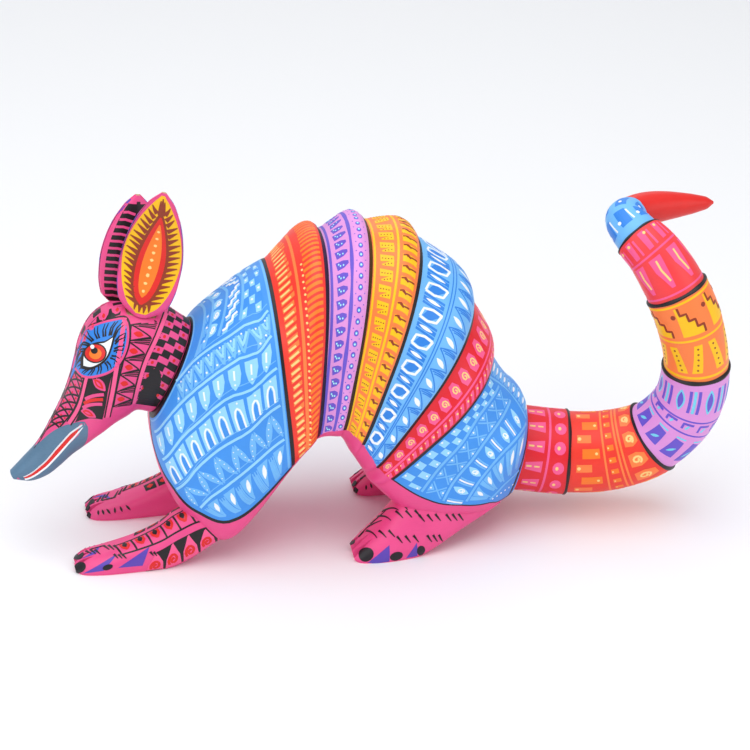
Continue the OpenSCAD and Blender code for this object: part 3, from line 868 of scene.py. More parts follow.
def closed_grid_faces(rows, columns):
    """Faces of a thin sheet: an upper grid, a lower grid under it and walls between them."""
    under = rows * columns
    faces = []
    for i in range(rows - 1):
        for j in range(columns - 1):
            k = i * columns + j
            faces.append((k, k + 1, k + columns + 1, k + columns))
            faces.append((under + k, under + k + columns, under + k + columns + 1, under + k + 1))
    rim = list(range(columns)) + [i * columns + columns - 1 for i in range(1, rows)]
    rim += [(rows - 1) * columns + j for j in range(columns - 2, -1, -1)]
    rim += [i * columns for i in range(rows - 2, 0, -1)]
    for k, here in enumerate(rim):
        after = rim[(k + 1) % len(rim)]
        faces.append((after, here, under + here, under + after))
    return faces


def resample(points, spacing, places):
    """points (and anything with them) at even places along the line that places measures."""
    run = np.concatenate([[0], np.cumsum(np.linalg.norm(np.diff(places, axis=0), axis=1))])
    count = max(2, int(math.ceil(run[-1] / spacing)) + 1)
    at = np.union1d(np.linspace(0, run[-1], count), run) if len(run) < 12 else np.linspace(0, run[-1], count)
    keep = np.concatenate([[True], np.diff(at) > 0.12 * spacing])
    keep[-1] = True
    at = at[keep]
    share = at / max(run[-1], 1e-9)
    return np.stack([np.interp(at, run, points[:, k]) for k in range(points.shape[1])], -1), share


def stroke(patch, pot, ab, width, layer, spacing=1.4):
    """A brush stroke along a line of a, b points. width is in mm, or a function of the share run."""
    u, v = patch.uv(ab)
    line = np.stack([u, v], -1)
    line, share = resample(line, spacing, patch.skin.at(u, v))
    u, v = line[:, 0], line[:, 1]
    p, n = patch.skin.look(u, v)
    way = np.gradient(p, axis=0)
    side = np.cross(n, way)
    side /= np.linalg.norm(side, axis=1, keepdims=True) + 1e-9
    w = np.array([width(s) for s in share]) if callable(width) else np.full(len(u), width)
    half = np.maximum(w, 0.05)[:, None] / 2
    columns = 2 if half.max() < 0.75 else 3
    us, vs = [], []
    for c in np.linspace(-1, 1, columns):
        if columns == 3 and c == 0:
            us.append(u)
            vs.append(v)
            continue
        a, b = patch.skin.sidestep(u, v, side * half * c)
        us.append(a)
        vs.append(b)
    lay_grid(patch, pot, np.stack(us, 1), np.stack(vs, 1), layer)


def fill(patch, pot, left, right, layer, spacing=1.3):
    """Paint between two edges, each a list of a, b points."""
    left, right = np.atleast_2d(np.asarray(left, float)), np.atleast_2d(np.asarray(right, float))
    if len(left) != len(right):
        share = np.linspace(0, 1, max(len(left), len(right)))

        def stretch(q):
            return np.stack([np.interp(share, np.linspace(0, 1, len(q)), q[:, k]) for k in range(2)], -1)
        left, right = stretch(left), stretch(right)
    middle = (left + right) / 2
    places = patch.skin.at(*patch.uv(middle))
    pair, _ = resample(np.hstack([left, right]), spacing, places)
    left, right = pair[:, :2], pair[:, 2:]
    across = np.linalg.norm(patch.skin.at(*patch.uv(left)) - patch.skin.at(*patch.uv(right)), axis=1).max()
    columns = max(2, int(math.ceil(across / spacing)) + 1)
    grid = np.stack([left * (1 - c) + right * c for c in np.linspace(0, 1, columns)], 1)
    u, v = patch.uv(grid.reshape(-1, 2))
    lay_grid(patch, pot, u.reshape(grid.shape[:2]), v.reshape(grid.shape[:2]), layer)


def disc(patch, pot, a, b, across, layer, tall=None, turn=0.0, sides=8):
    """A dot or an oval: its sizes in mm along the patch and across it."""
    tall = tall or across
    u, v = patch.uv([(a, b)])
    e = 0.002
    au, av = patch.uv([(a + e, b)])
    p, n = patch.skin.look(u, v)
    way = unit((patch.skin.at(au, av) - p)[0])
    side = np.cross(n[0], way)
    angle = 2 * np.pi * (np.arange(sides) + 0.5) / sides
    x, y = np.cos(angle) * across / 2, np.sin(angle) * tall / 2
    c, s = math.cos(turn), math.sin(turn)
    step = np.outer(x * c - y * s, way) + np.outer(x * s + y * c, side)
    ru, rv = patch.skin.sidestep(np.full(sides, u[0]), np.full(sides, v[0]), step)
    top = PAINT_BASE + COAT_STEP * layer
    rp, rn = patch.skin.look(ru, rv)
    foot = PAINT_BASE - COAT_SINK
    points = list(rp + rn * top) + list(rp + rn * foot) + [p[0] + n[0] * (top + 0.02)]
    faces = []
    for k in range(sides):
        m = (k + 1) % sides
        faces.append((k, m, 2 * sides))
        faces.append((m, k, sides + k, sides + m))
    faces.append(tuple(range(2 * sides - 1, sides - 1, -1)))
    coats(pot).add(points, faces)


def leaf_width(w):
    return lambda s: w * max(0.06, math.sin(math.pi * min(max(s, 0), 1))) ** 0.75


def tapered(w, end=0.25):
    return lambda s: w * (1 - (1 - end) * s)


def jog(x, amount):
    return x + hand.uniform(-amount, amount)


def cells(count, half=0.5, start=0.5):
    """Along a row of count figures: each one's number, its middle, and half as a share of its room."""
    for i in range(count):
        yield i, (i + start) / count, half / count


def smooth_loop(points, count=48):
    """A smooth closed curve through points."""
    p = np.asarray(points, float)
    n = len(p)
    out = []
    for k in range(count):
        f = k / count * n
        i, t = int(f), f - int(f)
        a, b, c, d = p[(i - 1) % n], p[i % n], p[(i + 1) % n], p[(i + 2) % n]
        out.append(tuple(0.5 * (2 * b + (c - a) * t + (2 * a - 5 * b + 4 * c - d) * t ** 2
                                + (3 * (b - c) + d - a) * t ** 3)))
    return out


def block(patch, pot, a0, a1, b0, b1, layer, lean=0.0, loose=0.0):
    """A block between a0..a1 and b0..b1; lean slides its b1 side along a."""
    c = [jog(0, loose) for _ in range(4)]
    fill(patch, pot, [(a0 + c[0], b0), (a0 + lean + c[1], b1)],
         [(a1 + c[2], b0), (a1 + lean + c[3], b1)], layer)


def line_across(patch, pot, a, b0, b1, width, layer, lean=0.0):
    stroke(patch, pot, [(a, b0), (a + lean, b1)], width, layer)


def line_along(patch, pot, b, width, layer, a0=0.0, a1=1.0, points=12):
    stroke(patch, pot, [(a, b) for a in np.linspace(a0, a1, points)], width, layer, 2.2)


def ring_of(patch, pot, a, b, ra, rb, width, layer, start=0.0, turns=1.0, points=12, inward=0.0):
    """A loop or a spiral round a, b: ra and rb are its radii along a and b."""
    path = []
    for k in range(points + 1):
        f = k / points
        t = start + 2 * math.pi * turns * f
        r = 1 - inward * f
        path.append((a + ra * r * math.cos(t), b + rb * r * math.sin(t)))
    stroke(patch, pot, path, width, layer, 0.9)


# ------------------------------------------------------------
# Trunk
# ------------------------------------------------------------

shell = trunk_skin()
SEAMS = [5, 6, 7, 8, 9, 10]        # rows where one band ends in a step and the next begins
BAND_POTS = {5: "vermilion", 6: "lilac", 7: "soft_orange", 8: "sky", 9: "crimson"}


def shell_edge(u):
    return float(np.interp(u, range(len(SHELL_EDGE)), SHELL_EDGE))


def trunk_pot(u, v):
    if abs(v) > shell_edge(u):
        return "pink"
    # The step walls at the seams are black: black groove paint, together with the step's shadow painted in as
    # black.
    for k in SEAMS:
        if k - 0.012 < u < k + 0.05:
            return "black"
    if u < 5 or u > 10:
        return "mid_blue"
    return BAND_POTS[int(u)]


def make_trunk():
    us = list(shell.us)
    for k in SEAMS:
        us += [k - 0.012, k + 0.05]
    us = np.array(sorted(set(round(float(u), 5) for u in us)))
    rows = []
    inner, outer = 74, 26
    for u in us:
        e = shell_edge(u)
        half = np.concatenate([np.linspace(0, e, inner + 1), np.linspace(e, 1, outer + 1)[1:]])
        rows.append(np.concatenate([-half[::-1], half[1:]]))
    trunk = carved_solid("trunk_carving", shell, us, np.array(rows), trunk_pot, ("black", "wood"))
    seat = tail_seat - tail_way * 9
    cut_with(trunk, tool("cylinder", seat, tail_way, radius=TAIL_HOLE_RADIUS, depth=19.2))
    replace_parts(settle(trunk, "figure"), "trunk")


def band_patch(k, side, front=0.07, rear=0.985):
    """One side of a band: a runs from the middle of the back down to the shell's edge."""
    lines = []
    for u in (k + front, k + rear):
        lines.append([(u, s * shell_edge(u)) for s in np.linspace(0, 1, 25)])
    return strip(shell, lines[0], lines[1], side)


def draw_outlines(side):
    """Black lines in the grooves, round the shields and along the lower edge. Each groove line is black paint
    drawn as wide as the paint and the step's shadow together, so part of its width is painted shade.
    """
    # Groove lines: black paint, widened to take in the painted shadow behind each step.
    for k in SEAMS:
        p = strip(shell, [(k + 0.035, 0), (k + 0.035, shell_edge(k))], [(k + 0.2, 0), (k + 0.2, 0.7)], side)
        line_along(p, "black", 0.0, lambda s: 1.2 + 0.25 * math.sin(9 * s), 1.2, 0, 1, 24)
    edge = [(u, shell_edge(u)) for u in np.linspace(0, 5, 30)]
    p = strip(shell, edge, [(u, v - 0.05) for u, v in edge], side)
    line_along(p, "black", 0.0, 1.3, 1.2, 0.0, 1, 40)
    rear = [(u, shell_edge(u)) for u in np.linspace(10.02, 14, 30)]
    p = strip(shell, rear, [(u, v - 0.05) for u, v in rear], side)
    line_along(p, "black", 0.0, 0.5, 1.2, 0.0, 1, 40)
    neck = [(0.0, v) for v in np.linspace(0, 0.93, 20)]
    p = strip(shell, neck, [(0.5, v) for u, v in neck], side)
    line_along(p, "black", 0.06, 1.1, 1.2, 0, 1, 20)
    seat = [(14.0, v) for v in np.linspace(0, 0.72, 20)]
    p = strip(shell, [(u - 0.16, v) for u, v in seat], [(u - 1, v) for u, v in seat], side)
    line_along(p, "black", 0.0, 1.5, 1.2, 0, 1, 20)


def paint_band_1(side):
    """Vermilion: a row of cream dashes, an orange line, a row of orange bars with dots."""
    p = band_patch(5, side)
    line_along(p, "soft_orange", 0.47, 1.3, 1, 0, 1, 24)
    for _, a, w in cells(30, 0.31):
        start = jog(0.13, 0.015)
        block(p, "soft_orange", a - w, a + w, start, jog(0.38, 0.02), 1, 0.004, 0.002)
        line_across(p, "cream", jog(a + 0.1 * w, 0.002), start + 0.02, jog(0.33, 0.03), 0.85, 2, 0.004)
    n = 36
    for i in range(n):
        a = (i + 0.45) / n
        w = 0.27 / n
        block(p, "orange", a - w, a + w, jog(0.60, 0.01), jog(0.93, 0.01), 1, -0.004, 0.001)
        if a > 0.16:
            disc(p, "cream", a + 0.5 / n, jog(0.57, 0.006), 1.0, 2)


def paint_band_2(side):
    """Lilac: purple edge, shields with cyan dots, a purple line, ovals with cyan dots."""
    p = band_patch(6, side)
    line_along(p, "purple", 0.06, 1.0, 1, 0, 1, 24)
    line_along(p, "purple", 0.54, lambda s: 1.25 + 0.3 * math.sin(31 * s), 1, 0, 1, 40)
    for _, a, w in cells(18, 0.36):
        tip = jog(0.44, 0.015)
        low, high = jog(0.17, 0.01), jog(0.20, 0.01)
        fill(p, "purple", [(a - w, low), (a - w * 0.75, 0.33), (a - w * 0.1, tip)],
             [(a + w, high), (a + w * 1.05, 0.36), (a + w * 0.55, tip + 0.01)], 1)
        for da, b in ((-0.30, 0.235), (0.25, 0.275), (0.45, 0.345)):
            disc(p, "cyan", a + w * da, b, 0.95, 2, 0.7, sides=7)
            disc(p, "white", a + w * da, b, 0.4, 3, sides=5)
    n = 22
    for i in range(n):
        a = (i + 0.4) / n
        disc(p, "purple", jog(a, 0.002), 0.77, 2.5, 1, 1.9, sides=10)
        disc(p, "cyan", a, 0.77, 1.25, 2, 1.0)
        disc(p, "white", a, 0.77, 0.5, 3, sides=5)
        disc(p, "purple", a + 0.5 / n, jog(0.65, 0.01), 0.5, 1, sides=5)
        disc(p, "purple", a + 0.5 / n, jog(0.90, 0.01), 0.5, 1, sides=5)


def paint_band_3(side):
    """Orange: yellow edge and middle lines, dotted wedges, yellow blocks with a brown zigzag."""
    p = band_patch(7, side)
    line_along(p, "yellow", 0.05, 0.8, 1, 0, 1, 24)
    line_along(p, "yellow", 0.53, 0.9, 1, 0, 1, 24)
    n = 15
    for i in range(n):
        a = (i + 0.4) / n
        w = 0.25 / n
        fill(p, "yellow", [(a - w, 0.16), (a - w * 0.2, 0.44)], [(a + w, 0.17), (a + w * 1.3, 0.45)], 1)
        for k in range(4):
            s = (k + 0.5) / 4
            disc(p, "brown", a + w * (0.1 + 0.5 * s), 0.18 + 0.25 * s, 0.5, 2, sides=6)
        c = a + 0.5 / n
        fill(p, "yellow", [(c - w * 0.2, 0.20), (c - w * 1.1, 0.45)],
             [(c + w * 0.2, 0.21), (c + w * 0.7, 0.45)], 1)
        for k in range(3):
            s = (k + 0.5) / 3
            disc(p, "brown", c - w * 0.25 * s, 0.24 + 0.19 * s, 0.5, 2, sides=6)
    for _, a, w in cells(20, 0.33):
        block(p, "yellow", a - w, a + w, 0.62, 0.93, 1, 0.0, 0.002)
        top = a - w * 0.9
        bolt = [(top + 0.25 * w, 0.63), (top, 0.72), (top + 0.5 * w, 0.77), (top + 0.15 * w, 0.93)]
        stroke(p, "brown", bolt, 0.6, 2, 1.0)
        stroke(p, "brown", [(top + 0.2 * w, 0.70), (top + 0.75 * w, 0.79)], 0.7, 2, 1.0)


def paint_band_4(side):
    """Light blue: white-edged leaves and barred panels, then hatched triangles with ovals."""
    p = band_patch(8, side)
    line_along(p, "blue", 0.51, 0.45, 1, 0, 1, 24)
    line_along(p, "blue", 0.56, 0.45, 1, 0, 1, 24)
    n = 9
    for i in range(n):
        a = (i + 0.32) / n
        w = 0.24 / n
        leaf = [(a + w * 0.9, 0.10), (a - w * 0.5, 0.14), (a - w, 0.30), (a - w * 0.9, 0.45),
                (a + w * 0.5, 0.40), (a + w, 0.25)]
        fill(p, "blue", [(a + w * 0.5, 0.15), (a - w * 0.7, 0.22), (a - w * 0.7, 0.40)],
             [(a + w * 0.6, 0.15), (a + w * 0.7, 0.30), (a - w * 0.4, 0.41)], 1)
        stroke(p, "white", leaf + leaf[:1], 0.95, 2, 1.2)
        c = a + 0.5 / n
        block(p, "blue", c - 0.20 / n, c - 0.11 / n, 0.09, 0.45, 1)
        block(p, "blue", c - 0.07 / n, c + 0.08 / n, 0.09, 0.45, 1)
        block(p, "blue", c + 0.12 / n, c + 0.21 / n, 0.09, 0.45, 1)
        stroke(p, "white", [(c, 0.14), (c, 0.39)], leaf_width(1.3), 2)
    for _, a, w in cells(11):
        stroke(p, "blue", [(a - w, 0.60), (a, 0.94)], 0.5, 1)
        stroke(p, "blue", [(a, 0.94), (a + w, 0.60)], 0.5, 1)
        stroke(p, "white", [(a - w * 0.12, 0.62), (a + w * 0.10, 0.82)], leaf_width(1.9), 1)
        for k in range(4):
            s = k / 3
            top = (a + w * (0.28 + 0.30 * s), 0.945)
            foot = (a + w * (0.85 + 0.22 * s), 0.66 + 0.05 * (k % 2))
            stroke(p, "blue", [top, foot], 0.42, 1)


def paint_band_5(side):
    """Crimson: pink ovals with cream spirals, a pink line, pink bars with cream dots."""
    p = band_patch(9, side)
    line_along(p, "rose", 0.62, 0.8, 1, 0, 1, 24)
    n = 13
    for i in range(n):
        a = (i + 0.5) / n
        fat = 0.75 + 0.25 * math.sin(math.pi * min(1, a * 1.2))
        size = 0.36 / n
        fill(p, "rose",
             [(a - size * 0.5, 0.12), (a - size * 1.0, 0.30), (a - size * 0.6, 0.52)],
             [(a + size * 0.5, 0.12), (a + size * 1.1, 0.34), (a + size * 0.7, 0.52)], 1)
        ring_of(p, "cream", a, 0.33, size * 0.62, 0.13, 0.6 * fat, 2, 2.2, 1.35, 12, 0.75)
    n = 26
    for i in range(n):
        a = (i + 0.5) / n
        block(p, "rose", a - 0.27 / n, a + 0.27 / n, 0.71, 0.95, 1, 0.35 / n)
        if i % 2 == 0:
            disc(p, "cream", a + 0.05 / n, 0.80, 0.95, 2)
        else:
            disc(p, "cream", a + 0.3 / n, 0.76, 0.6, 2, sides=6)


# The shoulder shield's dividing lines, from the rear edge down to the neck edge
SHIELD_LINES = [
    [(4.80, 0.192), (3.50, 0.178), (2.40, 0.208), (1.45, 0.250), (0.62, 0.330), (0.12, 0.46)],
    [(4.80, 0.270), (3.64, 0.262), (2.71, 0.295), (1.93, 0.350), (1.21, 0.450), (0.66, 0.62), (0.50, 0.80)],
    [(4.86, 0.372), (4.21, 0.350), (3.43, 0.365), (2.71, 0.410), (2.14, 0.492), (1.64, 0.60), (1.35, 0.765)],
    [(4.86, 0.490), (4.36, 0.465), (3.71, 0.480), (3.14, 0.537), (2.64, 0.617), (2.43, 0.683), (2.20, 0.755)],
    [(4.88, 0.605), (4.57, 0.588), (4.14, 0.580), (3.79, 0.598), (3.43, 0.645), (3.21, 0.683), (3.06, 0.725)],
]
SHIELD_FOOT = [(4.88, 0.722), (4.64, 0.722), (4.36, 0.710), (4.0, 0.700), (3.6, 0.712)]


def paint_shield_lines(side):
    """The lines between the shoulder shield's sloping rows, and the light line round them."""
    for line in SHIELD_LINES:
        p = strip(shell, line, [(u, v + 0.03) for u, v in line], side)
        stroke(p, "pale_blue", [(a, 0) for a in np.linspace(0, 1, 14)], 1.0, 2)
        stroke(p, "sky", [(a, -0.75) for a in np.linspace(0, 1, 14)], 0.35, 1)
    rear = [(4.93, v) for v in np.linspace(0.0, 0.72, 20)]
    p = strip(shell, rear, [(4.5, v) for u, v in rear], side)
    line_along(p, "sky", 0.0, 1.0, 1, 0, 1, 20)
    neck = [(0.16, v) for v in np.linspace(0.0, 0.9, 20)]
    p = strip(shell, neck, [(0.6, v) for u, v in neck], side)
    line_along(p, "sky", 0.0, 0.7, 1, 0, 1, 20)


def paint_shield_zigzag(side):
    """A nested zigzag with white-dotted triangles."""
    p = strip(shell, SHIELD_LINES[0], SHIELD_LINES[1], side, square=True)
    for _, a, w in cells(9):
        for wide, top, foot, pot in ((1.0, 0.16, 0.88, "sky"), (0.62, 0.20, 0.64, "pale_blue")):
            stroke(p, pot, [(a - w * wide, top), (a, foot), (a + w * wide, top)], 0.95, 1, 1.2)
        stroke(p, "sky", [(a, 0.20), (a, 0.42)], leaf_width(1.6), 1, 1.2)
        fill(p, "sky", [(a + w * 0.62, 0.88), (a + w * 0.96, 0.46)],
             [(a + w * 1.38, 0.88), (a + w * 1.04, 0.46)], 1)
        disc(p, "white", a + w, 0.76, 0.9, 2, sides=6)
        disc(p, "white", a, 0.22, 0.8, 2, sides=6)


def paint_shield_leaves(side):
    """Half leaves with a white line and a dot."""
    p = strip(shell, SHIELD_LINES[1], SHIELD_LINES[2], side)
    for _, a, w in cells(9, 0.5, 0.55):
        fill(p, "pale_blue",
             [(a - w * 0.8, 0.16), (a - w * 0.8, 0.45), (a - w * 0.45, 0.72), (a + w * 0.18, 0.88)],
             [(a + w * 0.62, 0.16), (a + w * 0.70, 0.45), (a + w * 0.60, 0.72), (a + w * 0.30, 0.88)], 1)
        line_across(p, "white", a - w * 0.05, 0.28, 0.58, 0.65, 2, w * 0.15)
        disc(p, "white", a + w * 0.15, 0.72, 0.8, 2, sides=6)


def paint_shield_arches(side):
    """White arches on light panels."""
    p = strip(shell, SHIELD_LINES[2], SHIELD_LINES[3], side)
    for _, a, w in cells(8):
        block(p, "pale_blue", a - w * 0.82, a + w * 0.82, 0.14, 0.86, 1)
        arch = [(a - w * 0.42, 0.84), (a - w * 0.42, 0.52), (a - w * 0.28, 0.38), (a, 0.32),
                (a + w * 0.28, 0.38), (a + w * 0.42, 0.52), (a + w * 0.42, 0.84)]
        fill(p, "mid_blue", [(a - w * 0.3, 0.84), (a - w * 0.24, 0.5), (a - 0.05 * w, 0.38)],
             [(a + w * 0.3, 0.84), (a + w * 0.24, 0.5), (a + 0.05 * w, 0.38)], 2)
        stroke(p, "white", arch, 0.7, 3, 1.0)
        disc(p, "white", a - w * 0.1, 0.205, 0.8, 3, sides=6)


def paint_shield_petals(side):
    """A zigzag of broad light strokes dotted with white."""
    p = strip(shell, SHIELD_LINES[3], SHIELD_LINES[4], side)
    for _, a, w in cells(6):
        for a0, a1 in ((a - w * 0.9, a - w * 0.05), (a + w * 0.9, a + w * 0.12)):
            stroke(p, "sky", [(a1, 0.12), (a0 * 0.4 + a1 * 0.6, 0.50), (a0, 0.90)], leaf_width(2.5), 1, 1.6)
            for k in range(4):
                s = 0.2 + 0.2 * k
                disc(p, "white", a1 + (a0 - a1) * s, 0.12 + 0.78 * s, 0.5, 2, sides=5)


def paint_shield_foot(side):
    """Hatched triangles and white ovals along the foot."""
    p = strip(shell, SHIELD_LINES[4], SHIELD_FOOT, side)
    for _, a, w in cells(5):
        fill(p, "sky", [(a - w * 0.95, 0.14), (a - w * 0.15, 0.86)],
             [(a + w * 0.35, 0.14), (a, 0.86)], 1)
        stroke(p, "white", [(a - w * 0.42, 0.22), (a - w * 0.12, 0.58)], leaf_width(1.7), 2)
        for k in range(5):
            s = k / 4
            foot = (a + w * (0.10 + 0.72 * s), 0.92)
            top = (a + w * (0.42 + 0.50 * s), 0.20 + 0.10 * (k % 2))
            stroke(p, "sky", [foot, top], 0.5, 1)


def paint_shield_top(side):
    """The corner above the rows: spirals, step combs and a checker of dotted blocks."""
    top = [(4.80, 0.0), (3.7, 0.0), (2.6, 0.0), (1.5, 0.0), (0.35, 0.0)]
    foot = [(4.80, 0.172), (3.50, 0.158), (2.40, 0.188), (1.45, 0.230), (0.50, 0.335)]
    p = strip(shell, top, foot, side)
    for a0, a1 in ((0.26, 0.33), (0.50, 0.60), (0.72, 0.80), (0.86, 0.92)):
        stroke(p, "sky", [(a0, 0.0), (a1, 0.96)], 1.2, 2, 1.4)
    # checker of dotted blocks at the rear
    for row in range(5):
        for col in range(3):
            if (row + col) % 2:
                continue
            lean = 0.055 * row / 4
            a0, b0 = 0.02 + lean + 0.082 * col, 0.04 + 0.19 * row
            fill(p, "pale_blue", [(a0, b0), (a0 + 0.012, b0 + 0.17)],
                 [(a0 + 0.075, b0 + 0.02), (a0 + 0.07, b0 + 0.17)], 1)
            disc(p, "white", a0 + 0.04, b0 + 0.09, 1.1, 2, sides=6)
    # step combs
    for row in range(4):
        b = 0.06 + 0.225 * row
        lean = 0.02 * row
        path = [(0.315 + lean, b), (0.375 + lean, b + 0.01), (0.38 + lean, b + 0.09), (0.44 + lean, b + 0.10),
                (0.445 + lean, b + 0.17), (0.495 + lean, b + 0.18)]
        stroke(p, "white", path, 1.0, 2, 1.2)
        stroke(p, "pale_blue", [(q[0] - 0.004, q[1] + 0.055) for q in path], 0.8, 1, 1.2)
    # leaves with spirals
    for row in range(3):
        b = 0.20 + 0.27 * row
        a = 0.615 + 0.03 * row
        leaf = [(a - 0.03, b - 0.05), (a + 0.03, b - 0.06), (a + 0.10, b + 0.06)]
        stroke(p, "pale_blue", leaf, leaf_width(4.4), 1, 1.2)
        ring_of(p, "white", a + 0.03, b - 0.01, 0.035, 0.075, 0.6, 2, 0, 1.3, 10, 0.7)
    for row in range(3):
        b = 0.25 + 0.25 * row
        fill(p, "sky", [(0.80, b), (0.815, b + 0.18)], [(0.86, b + 0.03), (0.825, b + 0.18)], 1)
        disc(p, "white", 0.82, b + 0.06, 1.0, 2, sides=6)
        for k in range(3):
            stroke(p, "sky", [(0.845 + 0.02 * k, b + 0.20), (0.865 + 0.015 * k, b + 0.05)], 0.5, 1)


RUMP_LINES = [
    [(10.02, 0.175), (10.50, 0.135), (11.14, 0.117), (11.93, 0.150), (12.86, 0.192)],
    [(10.50, 0.150), (10.36, 0.300), (10.50, 0.417), (10.57, 0.525), (10.71, 0.632)],
    [(11.21, 0.150), (11.00, 0.325), (11.07, 0.442), (11.14, 0.533), (11.36, 0.620)],
    [(12.93, 0.215), (12.21, 0.325), (11.93, 0.400), (11.93, 0.500), (12.07, 0.605)],
    [(13.80, 0.500), (13.43, 0.517), (13.14, 0.535), (13.00, 0.570), (12.86, 0.605)],
]


def paint_rump(side):
    """The rump shield: checker, crosses, leaves and hatching in rows that fan down from the back."""
    for k, line in enumerate(RUMP_LINES):
        p = strip(shell, line, [(u + 0.4, v) for u, v in line], side)
        stroke(p, "sky", [(a, 0) for a in np.linspace(0, 1, 14)], 1.0, 2)
    front = [(10.10, 0.16), (10.09, 0.42), (10.12, 0.665)]
    p = strip(shell, front, RUMP_LINES[1], side)
    n = 9
    for i in range(n):
        a, w = (i + 0.5) / n, 0.5 / n
        block(p, "pale_blue", a - w * 0.5, a + w * 0.45, 0.05, 0.46, 1, 0, 0.004)
        block(p, "pale_blue", a + w * 0.45, a + w * 1.35 if i < n - 1 else a + w, 0.50, 0.90, 1, 0, 0.004)
        disc(p, "white", a, 0.12, 0.9, 2, sides=6)
        disc(p, "white", a + w * 0.8, 0.80, 0.8, 2, sides=6)
    p = strip(shell, RUMP_LINES[1], RUMP_LINES[2], side)
    for _, a, w in cells(8):
        stroke(p, "sky", [(a - w * 0.8, 0.16), (a + w * 0.8, 0.84)], 0.6, 1)
        stroke(p, "sky", [(a + w * 0.8, 0.16), (a - w * 0.8, 0.84)], 0.6, 1)
        for edge, tip in ((0.14, 0.36), (0.86, 0.64)):
            fill(p, "sky", [(a - w * 0.55, edge), (a - 0.04 * w, tip)],
                 [(a + w * 0.55, edge), (a + 0.04 * w, tip)], 1)
        disc(p, "white", a, 0.20, 0.75, 2, sides=6)
        disc(p, "white", a, 0.80, 0.75, 2, sides=6)
    p = strip(shell, RUMP_LINES[2], RUMP_LINES[3], side)
    for _, a, w in cells(5):
        stroke(p, "pale_blue", [(a - w * 0.35, 0.12), (a + w * 0.15, 0.88)], leaf_width(3.0), 1)
        ring_of(p, "white", a - 0.1 * w, 0.5, w * 0.22, 0.17, 0.5, 2, 0.5, 1.3, 9, 0.6)
        for k in range(3):
            c = a + w * (0.72 + 0.2 * k)
            stroke(p, "white" if k == 1 else "sky", [(c, 0.14), (c + w * 0.25, 0.86)], 0.65, 1)
    p = strip(shell, RUMP_LINES[3], RUMP_LINES[4], side)
    for _, a, w in cells(5):
        fill(p, "sky", [(a - w * 0.9, 0.12), (a - w * 0.1, 0.88)],
             [(a + w * 0.3, 0.12), (a + w * 0.1, 0.88)], 1)
        stroke(p, "white", [(a - w * 0.32, 0.2), (a - w * 0.08, 0.52)], leaf_width(1.5), 2)
        for k in range(5):
            s = k / 5
            stroke(p, "sky", [(a + w * (0.42 + 0.5 * s), 0.10), (a + w * (0.25 + 0.4 * s), 0.80)], 0.4, 1)
    foot = [(13.85, 0.70), (13.5, 0.66), (12.95, 0.615)]
    p = strip(shell, RUMP_LINES[4], foot, side)
    for i in range(6):
        disc(p, "white", (i + 0.5) / 6, 0.45, 0.8, 2, sides=6)
    # arches along the top rear edge
    back = [(10.15, 0.0), (11.9, 0.0), (13.7, 0.0)]
    p = strip(shell, back, RUMP_LINES[0], side)
    for _, a, w in cells(9):
        arch = [(a - w * 0.6, 0.9), (a - w * 0.55, 0.3), (a, 0.14), (a + w * 0.55, 0.3), (a + w * 0.6, 0.9)]
        stroke(p, "sky", arch, 0.8, 1)
        stroke(p, "white", [(a, 0.42), (a, 0.78)], leaf_width(1.0), 2)


def paint_trunk():
    paint_on("trunk", "figure", "shell_paint")
    for side in (LEFT, RIGHT):
        draw_outlines(side)
        paint_shield_lines(side)
        paint_shield_zigzag(side)
        paint_shield_leaves(side)
        paint_shield_arches(side)
        paint_shield_petals(side)
        paint_shield_foot(side)
        paint_shield_top(side)
        paint_band_1(side)
        paint_band_2(side)
        paint_band_3(side)
        paint_band_4(side)
        paint_band_5(side)
        paint_rump(side)


# ------------------------------------------------------------
# Head
# ------------------------------------------------------------

skull = head_skin()
# Where the slate-blue snout begins, down either side: u, v
SNOUT_LINE = [(9.25, 0.0), (8.9, 0.10), (8.2, 0.212), (6.8, 0.438), (5.75, 0.56), (5.5, 0.64),
              (5.7, 0.74), (6.2, 0.86), (6.4, 1.0)]
MOUTH_DEPTH = 0.55
MOUTH_TOP = [(10.3, 0.545), (9.2, 0.500), (8.1, 0.500), (7.0, 0.520), (6.0, 0.570)]
MOUTH_FOOT = [(10.3, 0.640), (9.2, 0.605), (7.9, 0.610), (6.8, 0.605), (6.0, 0.585)]


def snout_start(v):
    return float(np.interp(abs(v), [p[1] for p in SNOUT_LINE], [p[0] for p in SNOUT_LINE]))


def carve_mouth():
    """Sinks a long lens-shaped cut into both sides of the snout."""
    for i, u in enumerate(skull.us):
        if not 5.9 < u < 10.6:
            continue
        upper = np.interp(u, [p[0] for p in MOUTH_TOP][::-1], [p[1] for p in MOUTH_TOP][::-1])
        lower = np.interp(u, [p[0] for p in MOUTH_FOOT][::-1], [p[1] for p in MOUTH_FOOT][::-1])
        v = np.abs(np.linspace(-1, 1, skull.g.shape[1]))
        x = np.clip((v - (upper + lower) / 2) / ((lower - upper) / 2 + 0.01), -1, 1)
        skull.g[i] -= skull.n[i] * (MOUTH_DEPTH * (1 - x * x))[:, None]
    skull.find_normals()


def make_head():
    carve_mouth()
    rows = round_rows(skull.us, 161)
    head = carved_solid("head_carving", skull, skull.us, rows, plain("pink"), ("wood", "slate"))
    for side in (LEFT, RIGHT):
        seat, way = ear_peg(side)
        cut_with(head, tool("cone", seat + way * 6, way, radius1=5.4, radius2=17.4, depth=12))
        skull.seats.append((seat, way, 5.5))
        cut_with(head, tool("cylinder", seat - way * 4.3, way, radius=EAR_HOLE_RADIUS, depth=10.6))
    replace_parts(settle(head, "figure"), "head")


